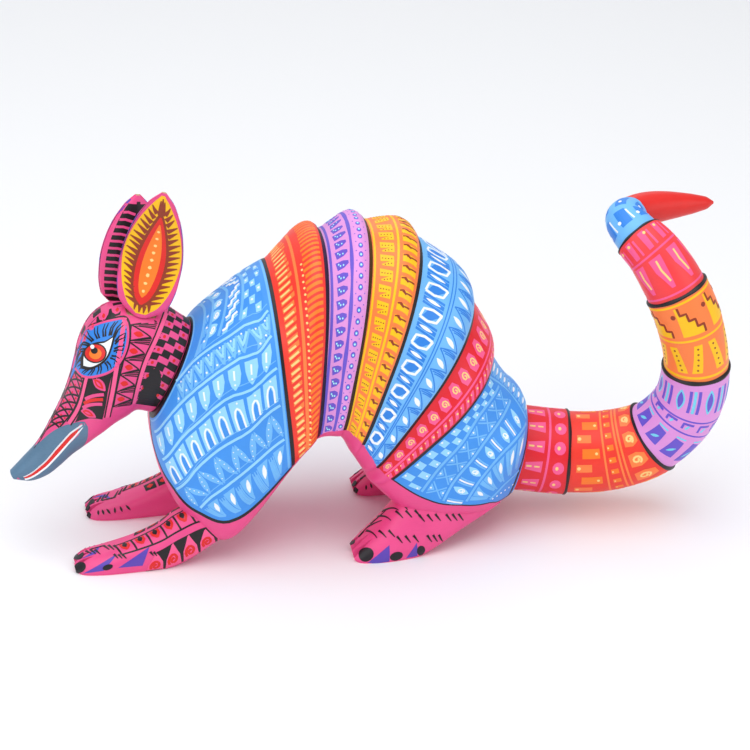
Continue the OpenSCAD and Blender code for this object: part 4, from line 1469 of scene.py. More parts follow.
def coat_snout():
    """The slate-blue snout, painted as one coat over the wood."""
    whole = free(skull)
    p = Patch(skull, lambda a, b: (np.array([snout_start(x) for x in b]) * (1 - a) + 11 * a, b))
    for side in (LEFT, RIGHT):
        fill(p, "slate", [(0, 0), (1, 0)], [(0, side * 0.5), (1, side * 0.5)], 1)
        fill(p, "slate", [(0, side * 0.5), (1, side * 0.5)], [(0, side * 0.999), (1, side * 0.999)], 1)
        top = [(u, side * v) for u, v in MOUTH_TOP]
        foot = [(u, side * v) for u, v in MOUTH_FOOT]
        fill(whole, "red", top, foot, 2)
        middle = [((a[0] + b[0]) / 2, (a[1] + b[1]) / 2) for a, b in zip(top, foot)]
        stroke(whole, "deep_pink", middle[:-1], 0.35, 3)
        stroke(whole, "white", top + [foot[-1]], 0.75, 3, 1.0)
        stroke(whole, "white", foot, 0.75, 3, 1.0)


def stencil(skin, u0, v0, side, inner=-0.1):
    """A patch like a flat stencil held against the face round u0, v0, seen from the side and a
    little from above. a runs back along the body and b up, in millimetres. Nothing is painted past
    v = inner, across the top."""
    facing = unit(np.array([0.135, side * 0.903, 0.407]))
    across = unit(np.array([0.989, -side * 0.148, 0.0]))
    upward = np.cross(across, facing) if side > 0 else np.cross(facing, across)
    upward = upward * np.sign(upward[2])
    middle = skin.at(u0, v0)[0]

    def to_uv(a, b):
        u, v = np.full(len(a), float(u0)), np.full(len(a), float(v0))
        for _ in range(12):
            gap = middle + np.outer(a, across) + np.outer(b, upward) - skin.at(u, v)
            e = 0.01
            gu = (skin.at(u + e, v) - skin.at(u - e, v)) / (2 * e)
            gv = (skin.at(u, v + e) - skin.at(u, v - e)) / (2 * e)
            m = np.array([[gu @ across, gv @ across], [gu @ upward, gv @ upward]])
            r = np.array([gap @ across, gap @ upward])
            det = m[0, 0] * m[1, 1] - m[0, 1] * m[1, 0]
            det = np.where(np.abs(det) < 1e-3, 1e-3, det)
            du = (m[1, 1] * r[0] - m[0, 1] * r[1]) / det
            dv = (m[0, 0] * r[1] - m[1, 0] * r[0]) / det
            u = np.clip(u + np.clip(0.8 * du, -0.8, 0.8), skin.us[0], skin.us[-1])
            v = side * np.maximum(side * (v + np.clip(0.8 * dv, -0.08, 0.08)), inner)
        return u, v
    return Patch(skin, to_uv)


def free(skin):
    """A patch whose a, b are the skin's own u, v."""
    return Patch(skin, lambda a, b: (a, b))


def fill_oval(patch, pot, x, y, rx, ry, layer, turn=0.0):
    left, right = [], []
    c, s = math.cos(turn), math.sin(turn)
    for t in np.linspace(0.04, math.pi - 0.04, 11):
        for sign, edge in ((1, left), (-1, right)):
            px, py = -rx * math.cos(t), sign * ry * math.sin(t)
            edge.append((x + px * c - py * s, y + px * s + py * c))
    fill(patch, pot, left, right, layer, 1.2)


EYE = (4.0, 0.26)
EYE_PATCH = [(-6.0, -6.2), (-6.5, -1.0), (-5.4, 4.2), (-2.3, 8.4), (2.6, 10.4), (8.0, 11.2), (12.3, 10.8),
             (12.4, 4.5), (10.0, -2.4), (5.4, -7.6), (-0.4, -9.2), (-4.4, -8.8)]
UPPER_LID = [(-4.2, -4.6), (-3.6, -1.0), (-1.8, 1.9), (1.0, 2.9), (3.6, 3.0), (6.7, 4.6)]
LOWER_LID = [(-4.2, -4.6), (-2.2, -5.4), (0.5, -4.6), (3.0, -3.0), (4.9, 0.0), (6.7, 4.6)]


def paint_eye(side):
    """Blue patch with black lashes, white almond, red iris with an orange inner ring, black pupil."""
    p = stencil(skull, EYE[0], side * EYE[1], side, 0.05)
    rim = smooth_loop(EYE_PATCH)
    for k in range(0, 48, 4):
        edge = [rim[(k + j) % 48] for j in range(5)]
        core = [(q[0] * 0.05 + 0.4, q[1] * 0.05) for q in edge]
        fill(p, "blue", core, edge, 2, 1.2)
    stroke(p, "pink", rim + rim[:1], 0.9, 3, 1.0)
    outer = [(x * 1.07, y * 1.07) for x, y in rim]
    stroke(p, "black", outer + outer[:1], 0.7, 2, 1.0)
    for k in range(32):
        f = rim[int(k * 48 / 32) % 48]
        g = (f[0] * 0.92, f[1] * 0.92)
        i = (f[0] * 0.52 + 0.7, f[1] * 0.50 - 0.2)
        mid = ((g[0] + i[0]) / 2 - 0.10 * (g[1] - i[1]), (g[1] + i[1]) / 2 + 0.10 * (g[0] - i[0]))
        stroke(p, "black", [i, mid, g], tapered(0.75, 0.4), 3, 1.0)
    almond_top = smooth_line(UPPER_LID, 17)
    almond_foot = smooth_line(LOWER_LID, 17)
    fill(p, "black", [(x * 1.16 - 0.2, y * 1.14 + 0.3) for x, y in almond_top],
         [(x * 1.16 - 0.2, y * 1.14 - 0.3) for x, y in almond_foot], 4, 1.0)
    fill(p, "white", almond_top, almond_foot, 5, 1.0)
    fill_oval(p, "black", 0.15, -0.5, 3.75, 3.75, 6)
    fill_oval(p, "red", 0.15, -0.5, 3.25, 3.25, 7)
    fill_oval(p, "orange", 0.1, -0.7, 2.0, 2.05, 8)
    fill_oval(p, "black", -0.1, 0.5, 1.1, 1.2, 9)
    fill_oval(p, "white", -0.5, 2.0, 0.6, 0.8, 10)


def bordered(p, pot, a0, a1, b, width, layer, count=12):
    """A coloured stripe along a patch with a black line on each side."""
    path = [(a, b) for a in np.linspace(a0, a1, count)]
    stroke(p, "black", path, width + 1.1, layer, 1.6)
    stroke(p, pot, path, width, layer + 1, 1.6)


NECK_EDGE = [(0.02, 0.0), (0.02, 0.12), (0.02, 0.26), (0.02, 0.42), (0.02, 0.58), (0.02, 0.76)]
STRIPE_3 = [(0.9, 0.0), (1.0, 0.10), (1.25, 0.28), (1.55, 0.412), (1.72, 0.55), (1.78, 0.715)]
TRI_LEFT = [(2.3, 0.09), (2.4, 0.19), (2.55, 0.30), (2.75, 0.42), (3.0, 0.525), (3.4, 0.712)]
STRIPE_2 = [(2.55, 0.10), (2.65, 0.19), (2.82, 0.33), (3.0, 0.43), (3.25, 0.555), (3.7, 0.705)]
CHEEK_R = [(3.2, 0.44), (3.5, 0.525), (3.75, 0.613), (4.1, 0.690)]
CHEEK_L = [(4.75, 0.345), (5.15, 0.395), (5.8, 0.425), (6.5, 0.470)]
X_LEFT = [(5.6, 0.10), (6.6, 0.07), (7.5, 0.06), (8.5, 0.05)]
X_RIGHT = [(5.0, 0.300), (5.7, 0.325), (6.6, 0.355), (7.6, 0.31)]


def paint_neck(side):
    """Stepped pink squares with red dots on black."""
    p = strip(skull, STRIPE_3, NECK_EDGE, side, square=True)
    fill(p, "black", [(0, 0.04), (0.5, 0.04), (1, 0.04)], [(0, 1), (0.5, 1), (1, 1)], 1)
    n = 8
    for i in range(n + 1):
        w = 0.5 / n
        for col, (b0, b1) in enumerate(((0.08, 0.40), (0.36, 0.70), (0.66, 0.98))):
            s = i / n + w * (0.6 + 0.75 * (1 - col))
            if not w * 0.5 < s < 1 - w * 0.4:
                continue
            fill(p, "pink", [(s - w * 0.48, b0), (s - w * 0.42, b1)],
                 [(s + w * 0.46, b0), (s + w * 0.50, b1)], 2)
            if col != 1:
                disc(p, "red", s, (b0 + b1) / 2, 1.5, 3, 1.2, sides=7)


def paint_temple(side):
    """Triangles with red ovals, hatched between, and a pink stripe on either side of them."""
    p = strip(skull, STRIPE_3, TRI_LEFT, side, square=True)
    line_along(p, "black", 0.97, 0.8, 1, 0.05, 1.0, 16)
    n = 6
    for i in range(n):
        a, w = 0.14 + (i + 0.5) / n * 0.86, 0.43 / n
        stroke(p, "black", [(a - w, 0.96), (a + 0.2 * w, 0.20), (a + w, 0.96)], 0.55, 1, 1.2)
        stroke(p, "red", [(a - 0.05 * w, 0.84), (a + 0.1 * w, 0.50)], leaf_width(2.3), 1, 1.0)
        for k in range(4):
            s = k / 3
            top = (a + w * (0.34 + 0.75 * s), 0.16)
            foot = (a + w * (0.82 + 0.30 * s), 0.74 + 0.12 * (k % 2))
            stroke(p, "black", [top, foot], tapered(0.5, 0.5), 1)

    whole = strip(skull, STRIPE_3, [(u + 0.01, v) for u, v in STRIPE_3], side)
    bordered(whole, "rose", 0.10, 1.0, 0, 1.5, 2)
    whole = strip(skull, STRIPE_2, [(u + 0.01, v) for u, v in STRIPE_2], side)
    bordered(whole, "rose", 0.0, 1.0, 0, 1.6, 2)


def paint_cheek(side):
    """Leaves and bars on black."""
    p = strip(skull, CHEEK_R, CHEEK_L, side)
    fill(p, "black", [(0, 0.0), (1.0, 0.0)], [(0, 1.0), (1.0, 1.0)], 1)
    for (a0, b0), (a1, b1) in (((0.04, 0.74), (0.36, 0.10)), ((0.74, 0.94), (0.97, 0.25))):
        stroke(p, "pink", [(a0, b0), (a1, b1)], leaf_width(3.8), 2, 1.2)
        for pot, near, far, wide, layer in (("red", 0.86, 0.14, 2.4, 3), ("pink", 0.7, 0.3, 0.9, 4)):
            start = (a0 * near + a1 * far, b0 * near + b1 * far)
            stop = (a0 * far + a1 * near, b0 * far + b1 * near)
            stroke(p, pot, [start, stop], leaf_width(wide), layer, 1.2)
    for k, pot in enumerate(("pink", "red", "pink")):
        a = 0.44 + 0.105 * k
        stroke(p, pot, [(a + 0.03, 0.90), (a, 0.12)], 1.35, 2, 1.4)


def paint_snout_side(side):
    """A pink stripe in front of the cheek, then crosses with red dots down the snout."""
    border = strip(skull, CHEEK_L, X_RIGHT, side)
    bordered(border, "rose", 0.0, 1.0, 0.42, 1.5, 2)
    p = strip(skull, X_LEFT, X_RIGHT, side)
    line_along(p, "black", 0.02, 0.6, 1)
    line_along(p, "black", 0.98, 0.6, 1)
    for _, a, w in cells(8):
        stroke(p, "black", [(a - w, 0.06), (a + w, 0.94)], 0.75, 1, 1.2)
        stroke(p, "black", [(a + w, 0.06), (a - w, 0.94)], 0.75, 1, 1.2)
        disc(p, "red", a - w * 0.55, 0.5, 0.8, 2, sides=6)
        disc(p, "red", a, 0.84, 1.0, 2, 0.9, sides=6)
        disc(p, "red", a, 0.16, 1.0, 2, 0.9, sides=6)


def paint_forehead(side):
    """A dark line and dark blocks beside the middle line."""
    p = strip(skull, [(2.6, 0.0), (9.3, 0.0)], [(2.6, 0.058), (9.3, 0.075)], side)
    line_along(p, "black", 0.92, 0.55, 1)
    n = 16
    for i in range(n):
        a = (i + 0.5) / n
        if i % 2 == 0:
            block(p, "black", a - 0.42 / n, a + 0.42 / n, 0.02, 0.55, 1, 0, 0.003)


def paint_brow(side):
    """Scallops with red ovals under the ears."""
    brow = [(2.55, 0.055), (3.4, 0.052), (4.5, 0.075), (5.3, 0.11)]
    lid = [(2.62, 0.105), (3.3, 0.115), (4.3, 0.12), (5.25, 0.145)]
    p = strip(skull, brow, lid, side)
    fill(p, "black", [(0, 0.0), (1.0, 0.0)], [(0, 1.25), (1.0, 1.25)], 1)
    for _, a, w in cells(5):
        fill(p, "pink", [(a - w * 0.85, 0.0), (a - w * 0.7, 0.6), (a - w * 0.2, 1.0)],
             [(a + w * 0.85, 0.0), (a + w * 0.7, 0.6), (a + w * 0.2, 1.0)], 2)
        stroke(p, "red", [(a, 0.18), (a, 0.78)], leaf_width(1.4), 3, 1.0)


def paint_head():
    paint_on("head", "figure", "head_paint")
    coat_snout()
    for side in (LEFT, RIGHT):
        paint_neck(side)
        paint_temple(side)
        paint_cheek(side)
        paint_snout_side(side)
        paint_forehead(side)
        paint_brow(side)
        paint_eye(side)


# ------------------------------------------------------------
# Ears
# ------------------------------------------------------------

ears = {side: ear_skin(side) for side in (LEFT, RIGHT)}


def make_ear(side):
    name = "ear_" + side_name(side)
    skin = ears[side]
    rows = round_rows(skin.us, 121)
    ear = carved_solid("ear_carving_" + side_name(side), skin, skin.us, rows, plain("pink"))
    seat, way = ear_peg(side)
    cut_with(ear, tool("cylinder", seat + way * 3.9, way, radius=EAR_HOLE_RADIUS, depth=8.0))
    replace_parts(settle(ear, name), name)


def paint_ear(side):
    """Front: yellow with brown rays round a red and orange leaf. Back: black with pink stripes."""
    name = "ear_" + side_name(side)
    paint_on(name, name, "ear_paint")
    skin = ears[side]
    front = Patch(skin, lambda a, b: (b, a * 0.5))           # a from rim to rim, b up the ear
    back = Patch(skin, lambda a, b: (b, np.where(a >= 0, 1 - a * 0.5, -1 - a * 0.5)))

    def face(pot, low, high, width, layer, blunt, lean=0.0, low_heavy=1.0):
        left, middle, right = [], [], []
        for s in np.linspace(0, 1, 21):
            w = width * max(0.02, math.sin(math.pi * s ** low_heavy)) ** blunt
            b, x = low + (high - low) * s, lean * (s - 0.5)
            left.append((x - w, b))
            middle.append((x, b))
            right.append((x + w, b))
        fill(front, pot, left, middle, layer, 0.8)
        fill(front, pot, middle, right, layer, 0.8)

    face("yellow", 0.03, 0.975, 0.92, 1, 0.28)
    face("brown", 0.085, 0.83, 0.53, 2, 0.55, 0.10, 0.74)
    face("red", 0.105, 0.79, 0.44, 3, 0.60, 0.12, 0.74)
    face("orange", 0.16, 0.73, 0.27, 4, 0.65, 0.13, 0.76)
    n = 17
    for i in range(n):
        s = (i + 0.5) / n
        core_b = 0.10 + 0.74 * s
        core_w = 0.48 * math.sin(math.pi * (0.05 + 0.88 * s ** 0.8)) ** 0.7
        reach_b = core_b + 0.02 + 0.05 * s
        rim_w = 0.92 * max(0.1, math.sin(math.pi * min(0.985, (reach_b - 0.03) / 0.945))) ** 0.28
        for sign in (-1, 1):
            start = (sign * core_w + 0.10 * (s - 0.5), core_b)
            stop = (sign * (rim_w - hand.uniform(0.03, 0.10)), jog(reach_b, 0.006))
            if abs(stop[0]) > abs(start[0]):
                stroke(front, "brown", [start, stop], tapered(1.9, 0.16), 3, 1.0)
    for a0, a1, b0, b1 in ((0.06, 0.06, 0.83, 0.95), (-0.02, -0.10, 0.81, 0.93), (0.14, 0.22, 0.81, 0.925),
                           (-0.22, -0.34, 0.12, 0.055), (-0.07, -0.1, 0.10, 0.042), (0.10, 0.14, 0.10, 0.042),
                           (0.24, 0.36, 0.12, 0.055)):
        stroke(front, "brown", [(a0, b0), (a1, b1)], tapered(1.6, 0.25), 3, 1.0)
    for i in range(9):
        s = i / 8
        disc(front, "cream", -0.055 + 0.11 * s, 0.205 + 0.465 * s, 3.0 - 1.0 * s, 5, 2.6 - 0.8 * s)

    # back
    for half in (-1, 1):
        left = [(half * 0.12, b) for b in np.linspace(0.05, 0.93, 12)]
        right = [(half * (0.99 if b > 0.12 else 0.9), b) for b in np.linspace(0.05, 0.93, 12)]
        fill(back, "black", left, right, 1, 1.8)
        for i in range(13):
            b = 0.10 + 0.063 * i
            path = [(half * 0.16, b - 0.012), (half * 0.6, b + 0.006), (half * 0.97, b - 0.004)]
            stroke(back, "pink", path, 1.0, 2, 1.5)
    for a in (-0.10, 0.0, 0.10):
        stroke(back, "black", [(a, b) for b in np.linspace(0.05, 0.95, 10)], 0.6, 3, 1.6)
    for i in range(7):
        disc(back, "red", 0.05 if i % 2 else -0.05, 0.14 + 0.11 * i, 1.1, 3)
    # edge line
    for a in (-1.0, 1.0):
        stroke(front, "violet", [(a * 0.985, b) for b in np.linspace(0.10, 0.96, 14)], 0.45, 1, 1.8)


# ------------------------------------------------------------
# Legs
# ------------------------------------------------------------

TOE_NOTCH_HALF, TOE_NOTCH_LENGTH = 1.92, 8.0


def make_leg(name, rows, side, y, lean, back):
    skin = leg_skin(rows, side, y, lean, back)
    rings = round_rows(skin.us, 97)
    leg = carved_solid(name + "_carving", skin, skin.us, rings, plain("pink"), ("pink", "pink"))
    # cut the sole flat
    bpy.ops.mesh.primitive_cube_add(size=0.4, location=(0, 0, -0.2))
    ground = bpy.context.active_object
    bpy.ops.object.transform_apply(location=True, rotation=True, scale=True)
    ground.data.materials.append(paint_of("pink"))
    cut_with(leg, ground)
    tip = (rows[0][2] + TRUNK_SHIFT) * KX + back
    for k in (-1, 0, 1):
        notch = toe_notch(tip, side * y + k * LEG_W * 0.24, k * -6)
        cut_with(leg, notch)
    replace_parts(settle(leg, "figure"), name)
    return skin


def toe_notch(tip, y, turn):
    """A wedge that parts two toes, narrowing from the tip of the foot."""
    bpy.ops.object.select_all(action="DESELECT")
    bpy.ops.mesh.primitive_cylinder_add(vertices=3, radius=1, depth=0.04, location=(0, 0, 0))
    wedge = bpy.context.active_object
    corners = [(-1, -TOE_NOTCH_HALF), (TOE_NOTCH_LENGTH, 0), (-1, TOE_NOTCH_HALF)]
    spin = math.radians(turn)
    mesh = wedge.data
    flat = {(round(v.co.x, 4), round(v.co.y, 4)) for v in mesh.vertices}
    flat = sorted(flat, key=lambda q: math.atan2(q[1], q[0]))
    for v in mesh.vertices:
        x, w = corners[flat.index((round(v.co.x, 4), round(v.co.y, 4)))]
        px = x * math.cos(spin) - w * math.sin(spin)
        py = x * math.sin(spin) + w * math.cos(spin)
        v.co.x, v.co.y = (tip + px) * MM, (y + py) * MM
        v.co.z += 0.018
    mesh.materials.append(paint_of("violet"))
    face_outwards()
    return wedge


def paint_foreleg(name, side):
    """Panels with red arches on top, petals with spirals on the outer side, black nails."""
    skin = leg_skins[name]
    top = [(2.35, 0.03), (3.7, 0.04), (5.2, 0.06), (6.9, 0.06)]
    foot = [(2.55, 0.28), (3.9, 0.29), (5.3, 0.31), (7.2, 0.33)]
    p = strip(skin, top, foot, side)
    for b in (0.0, 1.0):
        line_along(p, "black", b, 0.7, 1, 0, 1, 10)
    for _, a, w in cells(7):
        line_across(p, "black", a - w, 0.0, 1.0, 0.75, 1)
        arch = [(a - w * 0.42, 0.10), (a - w * 0.40, 0.45), (a, 0.68), (a + w * 0.40, 0.45),
                (a + w * 0.42, 0.10)]
        stroke(p, "red", arch, 1.15, 1, 1.0)
        stroke(p, "black", [(a, 0.06), (a, 0.50)], leaf_width(2.0), 2, 1.0)
    top = [(3.5, 0.40), (4.4, 0.385), (5.6, 0.40), (7.3, 0.42)]
    foot = [(3.3, 0.70), (4.2, 0.75), (5.4, 0.79), (7.3, 0.83)]
    p = strip(skin, top, foot, side)
    fill(p, "black", [(0.10, 0.04), (1.0, 0.04)], [(0.0, 0.98), (1.0, 0.98)], 1)
    for _, a, w in cells(5):
        tall = 0.62 + 0.38 * math.sin(math.pi * min(1.0, 0.25 + a * 0.7))
        fill(p, "rose", [(a - w * 0.88, 0.96), (a - w * 0.8, 0.52), (a - w * 0.1, 0.70 - 0.62 * tall)],
             [(a + w * 0.88, 0.96), (a + w * 0.8, 0.52), (a + w * 0.1, 0.66 - 0.62 * tall)], 2)
        ring_of(p, "red", a, 0.62, w * 0.60, 0.25 * tall, 1.05, 3, 2.4, 1.6, 14, 0.85)
    # far edge of the top: red ovals on black
    top = [(3.0, -0.03), (4.4, -0.03), (6.6, -0.02)]
    foot = [(3.1, -0.26), (4.5, -0.28), (6.7, -0.30)]
    p = strip(skin, top, foot, side)
    for i in range(6):
        a = (i + 0.5) / 6
        block(p, "black", a - 0.07, a + 0.07, 0.10, 0.75, 1)
        stroke(p, "red", [(a - 0.04, 0.42), (a + 0.04, 0.42)], leaf_width(2.6), 2)
    paint_toes(skin, 1.75, side * 0.283, side, FORE_NAILS, FORE_WEDGES, FORE_DASHES, 1.7)


def dashes(p, places, length, width):
    """Groups of three slanted black dashes round places in millimetres."""
    for x, y, step in places:
        for k in (-1, 0, 1):
            start = (x + step * k - length * 0.3, y + length * 0.5 - 0.25 * k)
            stop = (x + step * k + length * 0.35, y - length * 0.5 - 0.25 * k)
            stroke(p, "black", [start, stop], lambda s: width * (1.0 - 0.7 * s), 3, 1.0)


def paint_toes(skin, u0, v0, side, nails, wedges, groups, length):
    """Black nails, purple wedges between the toes and short black dashes behind them."""
    p = stencil(skin, u0, v0, side)
    for tip, foot, back in wedges:
        fill(p, "violet", [tip, foot], [tip, back], 1, 1.2)
    for x, y, rx, ry, turn in nails:
        fill_oval(p, "nail", x, y, rx, ry, 2, turn)
    dashes(p, groups, length, 0.95)
    # the inner side, which faces the belly
    q = free(skin)
    for k in range(3):
        for u in (1.1, 1.9):
            dash = [(u + 0.22 * k, -side * 0.34), (u + 0.30 * k, -side * 0.44)]
            stroke(q, "black", dash, leaf_width(0.9), 3, 1.0)
    for v in (-0.16, -0.42):
        stroke(q, "nail", [(0.0, side * v * 1.1), (0.5, side * v)], leaf_width(3.4), 2, 1.0)


FORE_NAILS = [(-8.0, -2.2, 2.6, 1.7, 0.8), (2.0, -3.2, 2.0, 1.1, 0.2), (-6.6, 2.4, 2.0, 1.0, 0.7)]
FORE_WEDGES = [((6.3, 1.6), (-7.2, -4.6), (0.4, -4.4)), ((18.3, 2.7), (6.0, -4.0), (15.2, -4.4)),
               ((2.0, 5.0), (-6.4, 1.2), (-1.0, 2.4))]
FORE_DASHES = [(-1.6, 3.2, 1.5), (5.2, 4.0, 1.6), (7.2, 0.4, 1.5), (20.2, -0.4, 1.3), (1.6, 6.4, 1.5)]
HIND_NAILS = [(-13.8, -10.2, 2.9, 2.6, 0.9), (-2.4, -12.4, 2.6, 1.7, 0.1), (7.6, -11.6, 1.7, 2.0, 0.3)]
HIND_WEDGES = [((-4.9, -7.6), (-14.6, -14.3), (-5.2, -14.2)), ((5.9, -8.2), (1.6, -13.8), (6.3, -13.6))]
HIND_DASHES = [(-0.4, 6.7, 3.2), (3.9, 3.3, 3.4), (11.8, 0.8, 3.2), (-6.7, -3.1, 3.2), (2.4, -6.3, 3.2),
               (22.0, -0.4, 2.6), (13.4, -7.5, 2.4), (9.0, 7.6, 3.0), (-6.4, 3.4, 2.6), (14.6, 5.6, 3.0)]


def paint_hindleg(name, side):
    """Plain pink with groups of three black dashes, black nails and purple wedges."""
    paint_toes(leg_skins[name], 2.62, side * 0.32, side, HIND_NAILS, HIND_WEDGES, HIND_DASHES, 2.9)


def paint_legs():
    for name, _, side, *_ in LEGS:
        paint_on(name, "figure", "leg_paint")
        if "fore" in name:
            paint_foreleg(name, side)
        else:
            paint_hindleg(name, side)


# ------------------------------------------------------------
# Tail
# ------------------------------------------------------------

tail, tail_end_way, tail_end_side = tail_skin()
tip = tip_skin(tail_end_way, tail_end_side)
TAIL_POTS = ["crimson", "vermilion", "lilac", "soft_orange", "coral", "sky"]


def tail_pot(u, v):
    for k, (first, last) in enumerate(TAIL_PARTS):
        if first <= u < last:
            return TAIL_POTS[k]
    return TAIL_POTS[-1]


def make_tail():
    body = carved_solid("tail_carving", tail, tail.us, round_rows(tail.us, 121), tail_pot)
    seat = tail_seat + tail_way * 6.2
    cut_with(body, tool("cylinder", seat, tail_way, radius=TAIL_HOLE_RADIUS, depth=12.9))
    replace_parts(settle(body, "tail"), "tail")
    rows = round_rows(tip.us, 81)
    end = carved_solid("tail_tip_carving", tip, tip.us, rows, plain("red"), ("red", "red"))
    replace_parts(settle(end, "tail"), "tail_tip")


def tail_strip(u0, u1):
    """A ring of the tail: a runs right round it, b from u0 to u1."""
    return Patch(tail, lambda a, b: (u0 + (u1 - u0) * b, a * 2 - 1))


def ring_line(u, pot, width, layer, spacing=1.6):
    stroke(tail_strip(u, u + 1), pot, [(a, 0) for a in np.linspace(0, 1, 33)], width, layer, spacing)


def paint_crimson_segment():
    """Pink wedges, a pink line and pink ovals."""
    ring_line(0.53, "rose", 0.9, 1)
    p = tail_strip(0.08, 0.47)
    n = 13
    for i in range(n):
        a = (i + 0.5) / n
        w = 0.30 / n
        fill(p, "rose", [(a - w * 0.6, 0.12), (a - w, 0.92)], [(a + w * 0.6, 0.12), (a + w, 0.92)], 1)
        stroke(p, "cream", [(a, 0.18), (a, 0.42)], 0.7, 2)
        stroke(p, "cream", [(a, 0.55), (a, 0.80)], 0.6, 2)
    p = tail_strip(0.57, 0.96)
    for i in range(n):
        a = (i + 0.5) / n
        disc(p, "rose", a, 0.5, 5.4, 1, 4.6, sides=12)
        disc(p, "cream", a, 0.42, 1.6, 2, 1.3)


def paint_vermilion_segment():
    """Blocks with dots, small bars between lines, and cream spirals."""
    for u in (1.88, 2.22, 2.32):
        ring_line(u, "soft_orange", 0.8, 1)
    p = tail_strip(1.08, 1.82)
    for i, a, w in cells(17, 0.27):
        if i % 2:
            block(p, "orange", a - w * 1.2, a + w * 1.2, 0.30, 0.92, 1)
            disc(p, "cream", a, 0.80, 1.2, 2)
        else:
            block(p, "soft_orange", a - w, a + w, 0.12, 0.62, 1)
            disc(p, "cream", a, 0.20, 1.5, 2)
    p = tail_strip(1.94, 2.18)
    n = 20
    for i in range(n):
        a = (i + 0.5) / n
        block(p, "orange", a - 0.22 / n, a + 0.22 / n, 0.16, 0.84, 1)
        disc(p, "cream", a, 0.3, 0.8, 2, sides=6)
    p = tail_strip(2.38, 2.95)
    n = 11
    for i in range(n):
        a = (i + 0.5) / n
        fill(p, "soft_orange", [(a - 0.30 / n, 0.10), (a - 0.36 / n, 0.50), (a - 0.2 / n, 0.88)],
             [(a + 0.30 / n, 0.10), (a + 0.36 / n, 0.50), (a + 0.2 / n, 0.88)], 1)
        ring_of(p, "cream", a, 0.42, 0.20 / n, 0.24, 0.85, 2, 0.4, 1.3, 12, 0.65)


def paint_lilac_segment():
    """Purple blocks, hooks and leaves with cyan strokes."""
    for u in (3.82, 4.12):
        ring_line(u, "purple", 0.7, 1)
    p = tail_strip(3.08, 3.76)
    for _, a, w in cells(10, 0.34):
        fill(p, "purple", [(a - w, 0.18), (a - w * 0.7, 0.85)], [(a + w, 0.22), (a + w * 0.8, 0.80)], 1)
        stroke(p, "cyan", [(a - w * 0.5, 0.35), (a + w * 0.45, 0.55)], leaf_width(1.2), 2)
        stroke(p, "cyan", [(a - w * 0.75, 0.90), (a + w * 0.8, 0.90)], 0.7, 1)
    p = tail_strip(3.88, 4.08)
    for _, a, w in cells(12, 0.3):
        stroke(p, "purple", [(a - w, 0.15), (a - w, 0.8), (a + w, 0.8)], 1.0, 1, 1.0)
        stroke(p, "cyan", [(a - w * 0.3, 0.2), (a + w * 0.2, 0.62)], 0.9, 1, 1.0)
    p = tail_strip(4.2, 4.92)
    for _, a, w in cells(7):
        stroke(p, "cyan", [(a - w * 0.5, 0.16), (a - w * 0.5, 0.86)], leaf_width(3.8), 1, 1.4)
        stroke(p, "purple", [(a - w * 0.5, 0.24), (a - w * 0.5, 0.78)], leaf_width(2.4), 2, 1.4)
        for k in range(3):
            c = a + w * (0.15 + 0.3 * k)
            stroke(p, "cyan" if k == 1 else "purple", [(c, 0.15), (c, 0.86)], 1.2, 1, 1.4)


def paint_orange_segment():
    """Dotted yellow wedges and yellow steps with a brown edge."""
    ring_line(6.0, "yellow", 0.9, 1)
    ring_line(5.12, "yellow", 1.1, 1)
    ring_line(6.9, "yellow", 0.9, 1)
    p = tail_strip(5.2, 5.9)
    n = 10
    for i in range(n):
        a, w = (i + 0.5) / n, 0.26 / n
        lean = 0.14 / n if i % 2 else -0.14 / n
        fill(p, "yellow", [(a - w - lean, 0.05), (a - w * 0.8 + lean, 0.95)],
             [(a + w - lean, 0.05), (a + w * 0.8 + lean, 0.95)], 1)
        for k in range(5):
            s = 0.15 + 0.17 * k
            disc(p, "brown", a - lean + 2 * lean * s, s, 0.9, 2, sides=6)
    p = tail_strip(6.1, 6.85)
    for _, a, w in cells(6, 0.46):
        left, right = [], []
        for k in range(4):
            b0, b1 = 0.02 + 0.24 * k, 0.02 + 0.24 * (k + 1)
            wide = w * (1.5 - 0.42 * k)
            left += [(a - w, b0), (a - w, b1)]
            right += [(a - w + wide, b0), (a - w + wide, b1)]
        fill(p, "yellow", left, right, 1)
        stroke(p, "brown", right, 0.9, 2, 1.0)
        disc(p, "brown", a + w * 0.95, 0.74, 2.0, 2)


def paint_coral_segment():
    """Pink claws and bars with cream strokes."""
    ring_line(8.22, "rose", 0.8, 1)
    ring_line(7.12, "rose", 0.8, 1)
    p = tail_strip(7.2, 8.12)
    for _, a, w in cells(8):
        fill(p, "rose", [(a - w * 0.15, 0.06), (a - w * 0.75, 0.55), (a - w * 0.8, 0.97)],
             [(a + w * 0.2, 0.06), (a + w * 0.35, 0.55), (a + w * 0.5, 0.97)], 1)
        stroke(p, "cream", [(a + w * 0.05, 0.22), (a - w * 0.2, 0.55), (a - w * 0.15, 0.86)], 0.8, 2)
    p = tail_strip(8.3, 8.94)
    for i, a, w in cells(9):
        fill(p, "rose", [(a - w * 0.8, 0.05), (a - w * 0.7, 0.92)],
             [(a - w * 0.2, 0.05), (a + w * 0.1, 0.92)], 1)
        stroke(p, "rose", [(a + w * 0.35, 0.05), (a + w * 0.45, 0.85)], 0.9, 1)
        disc(p, "cream", a + w * 0.05 if i % 2 else a - w * 0.35, 0.78, 1.3, 2)


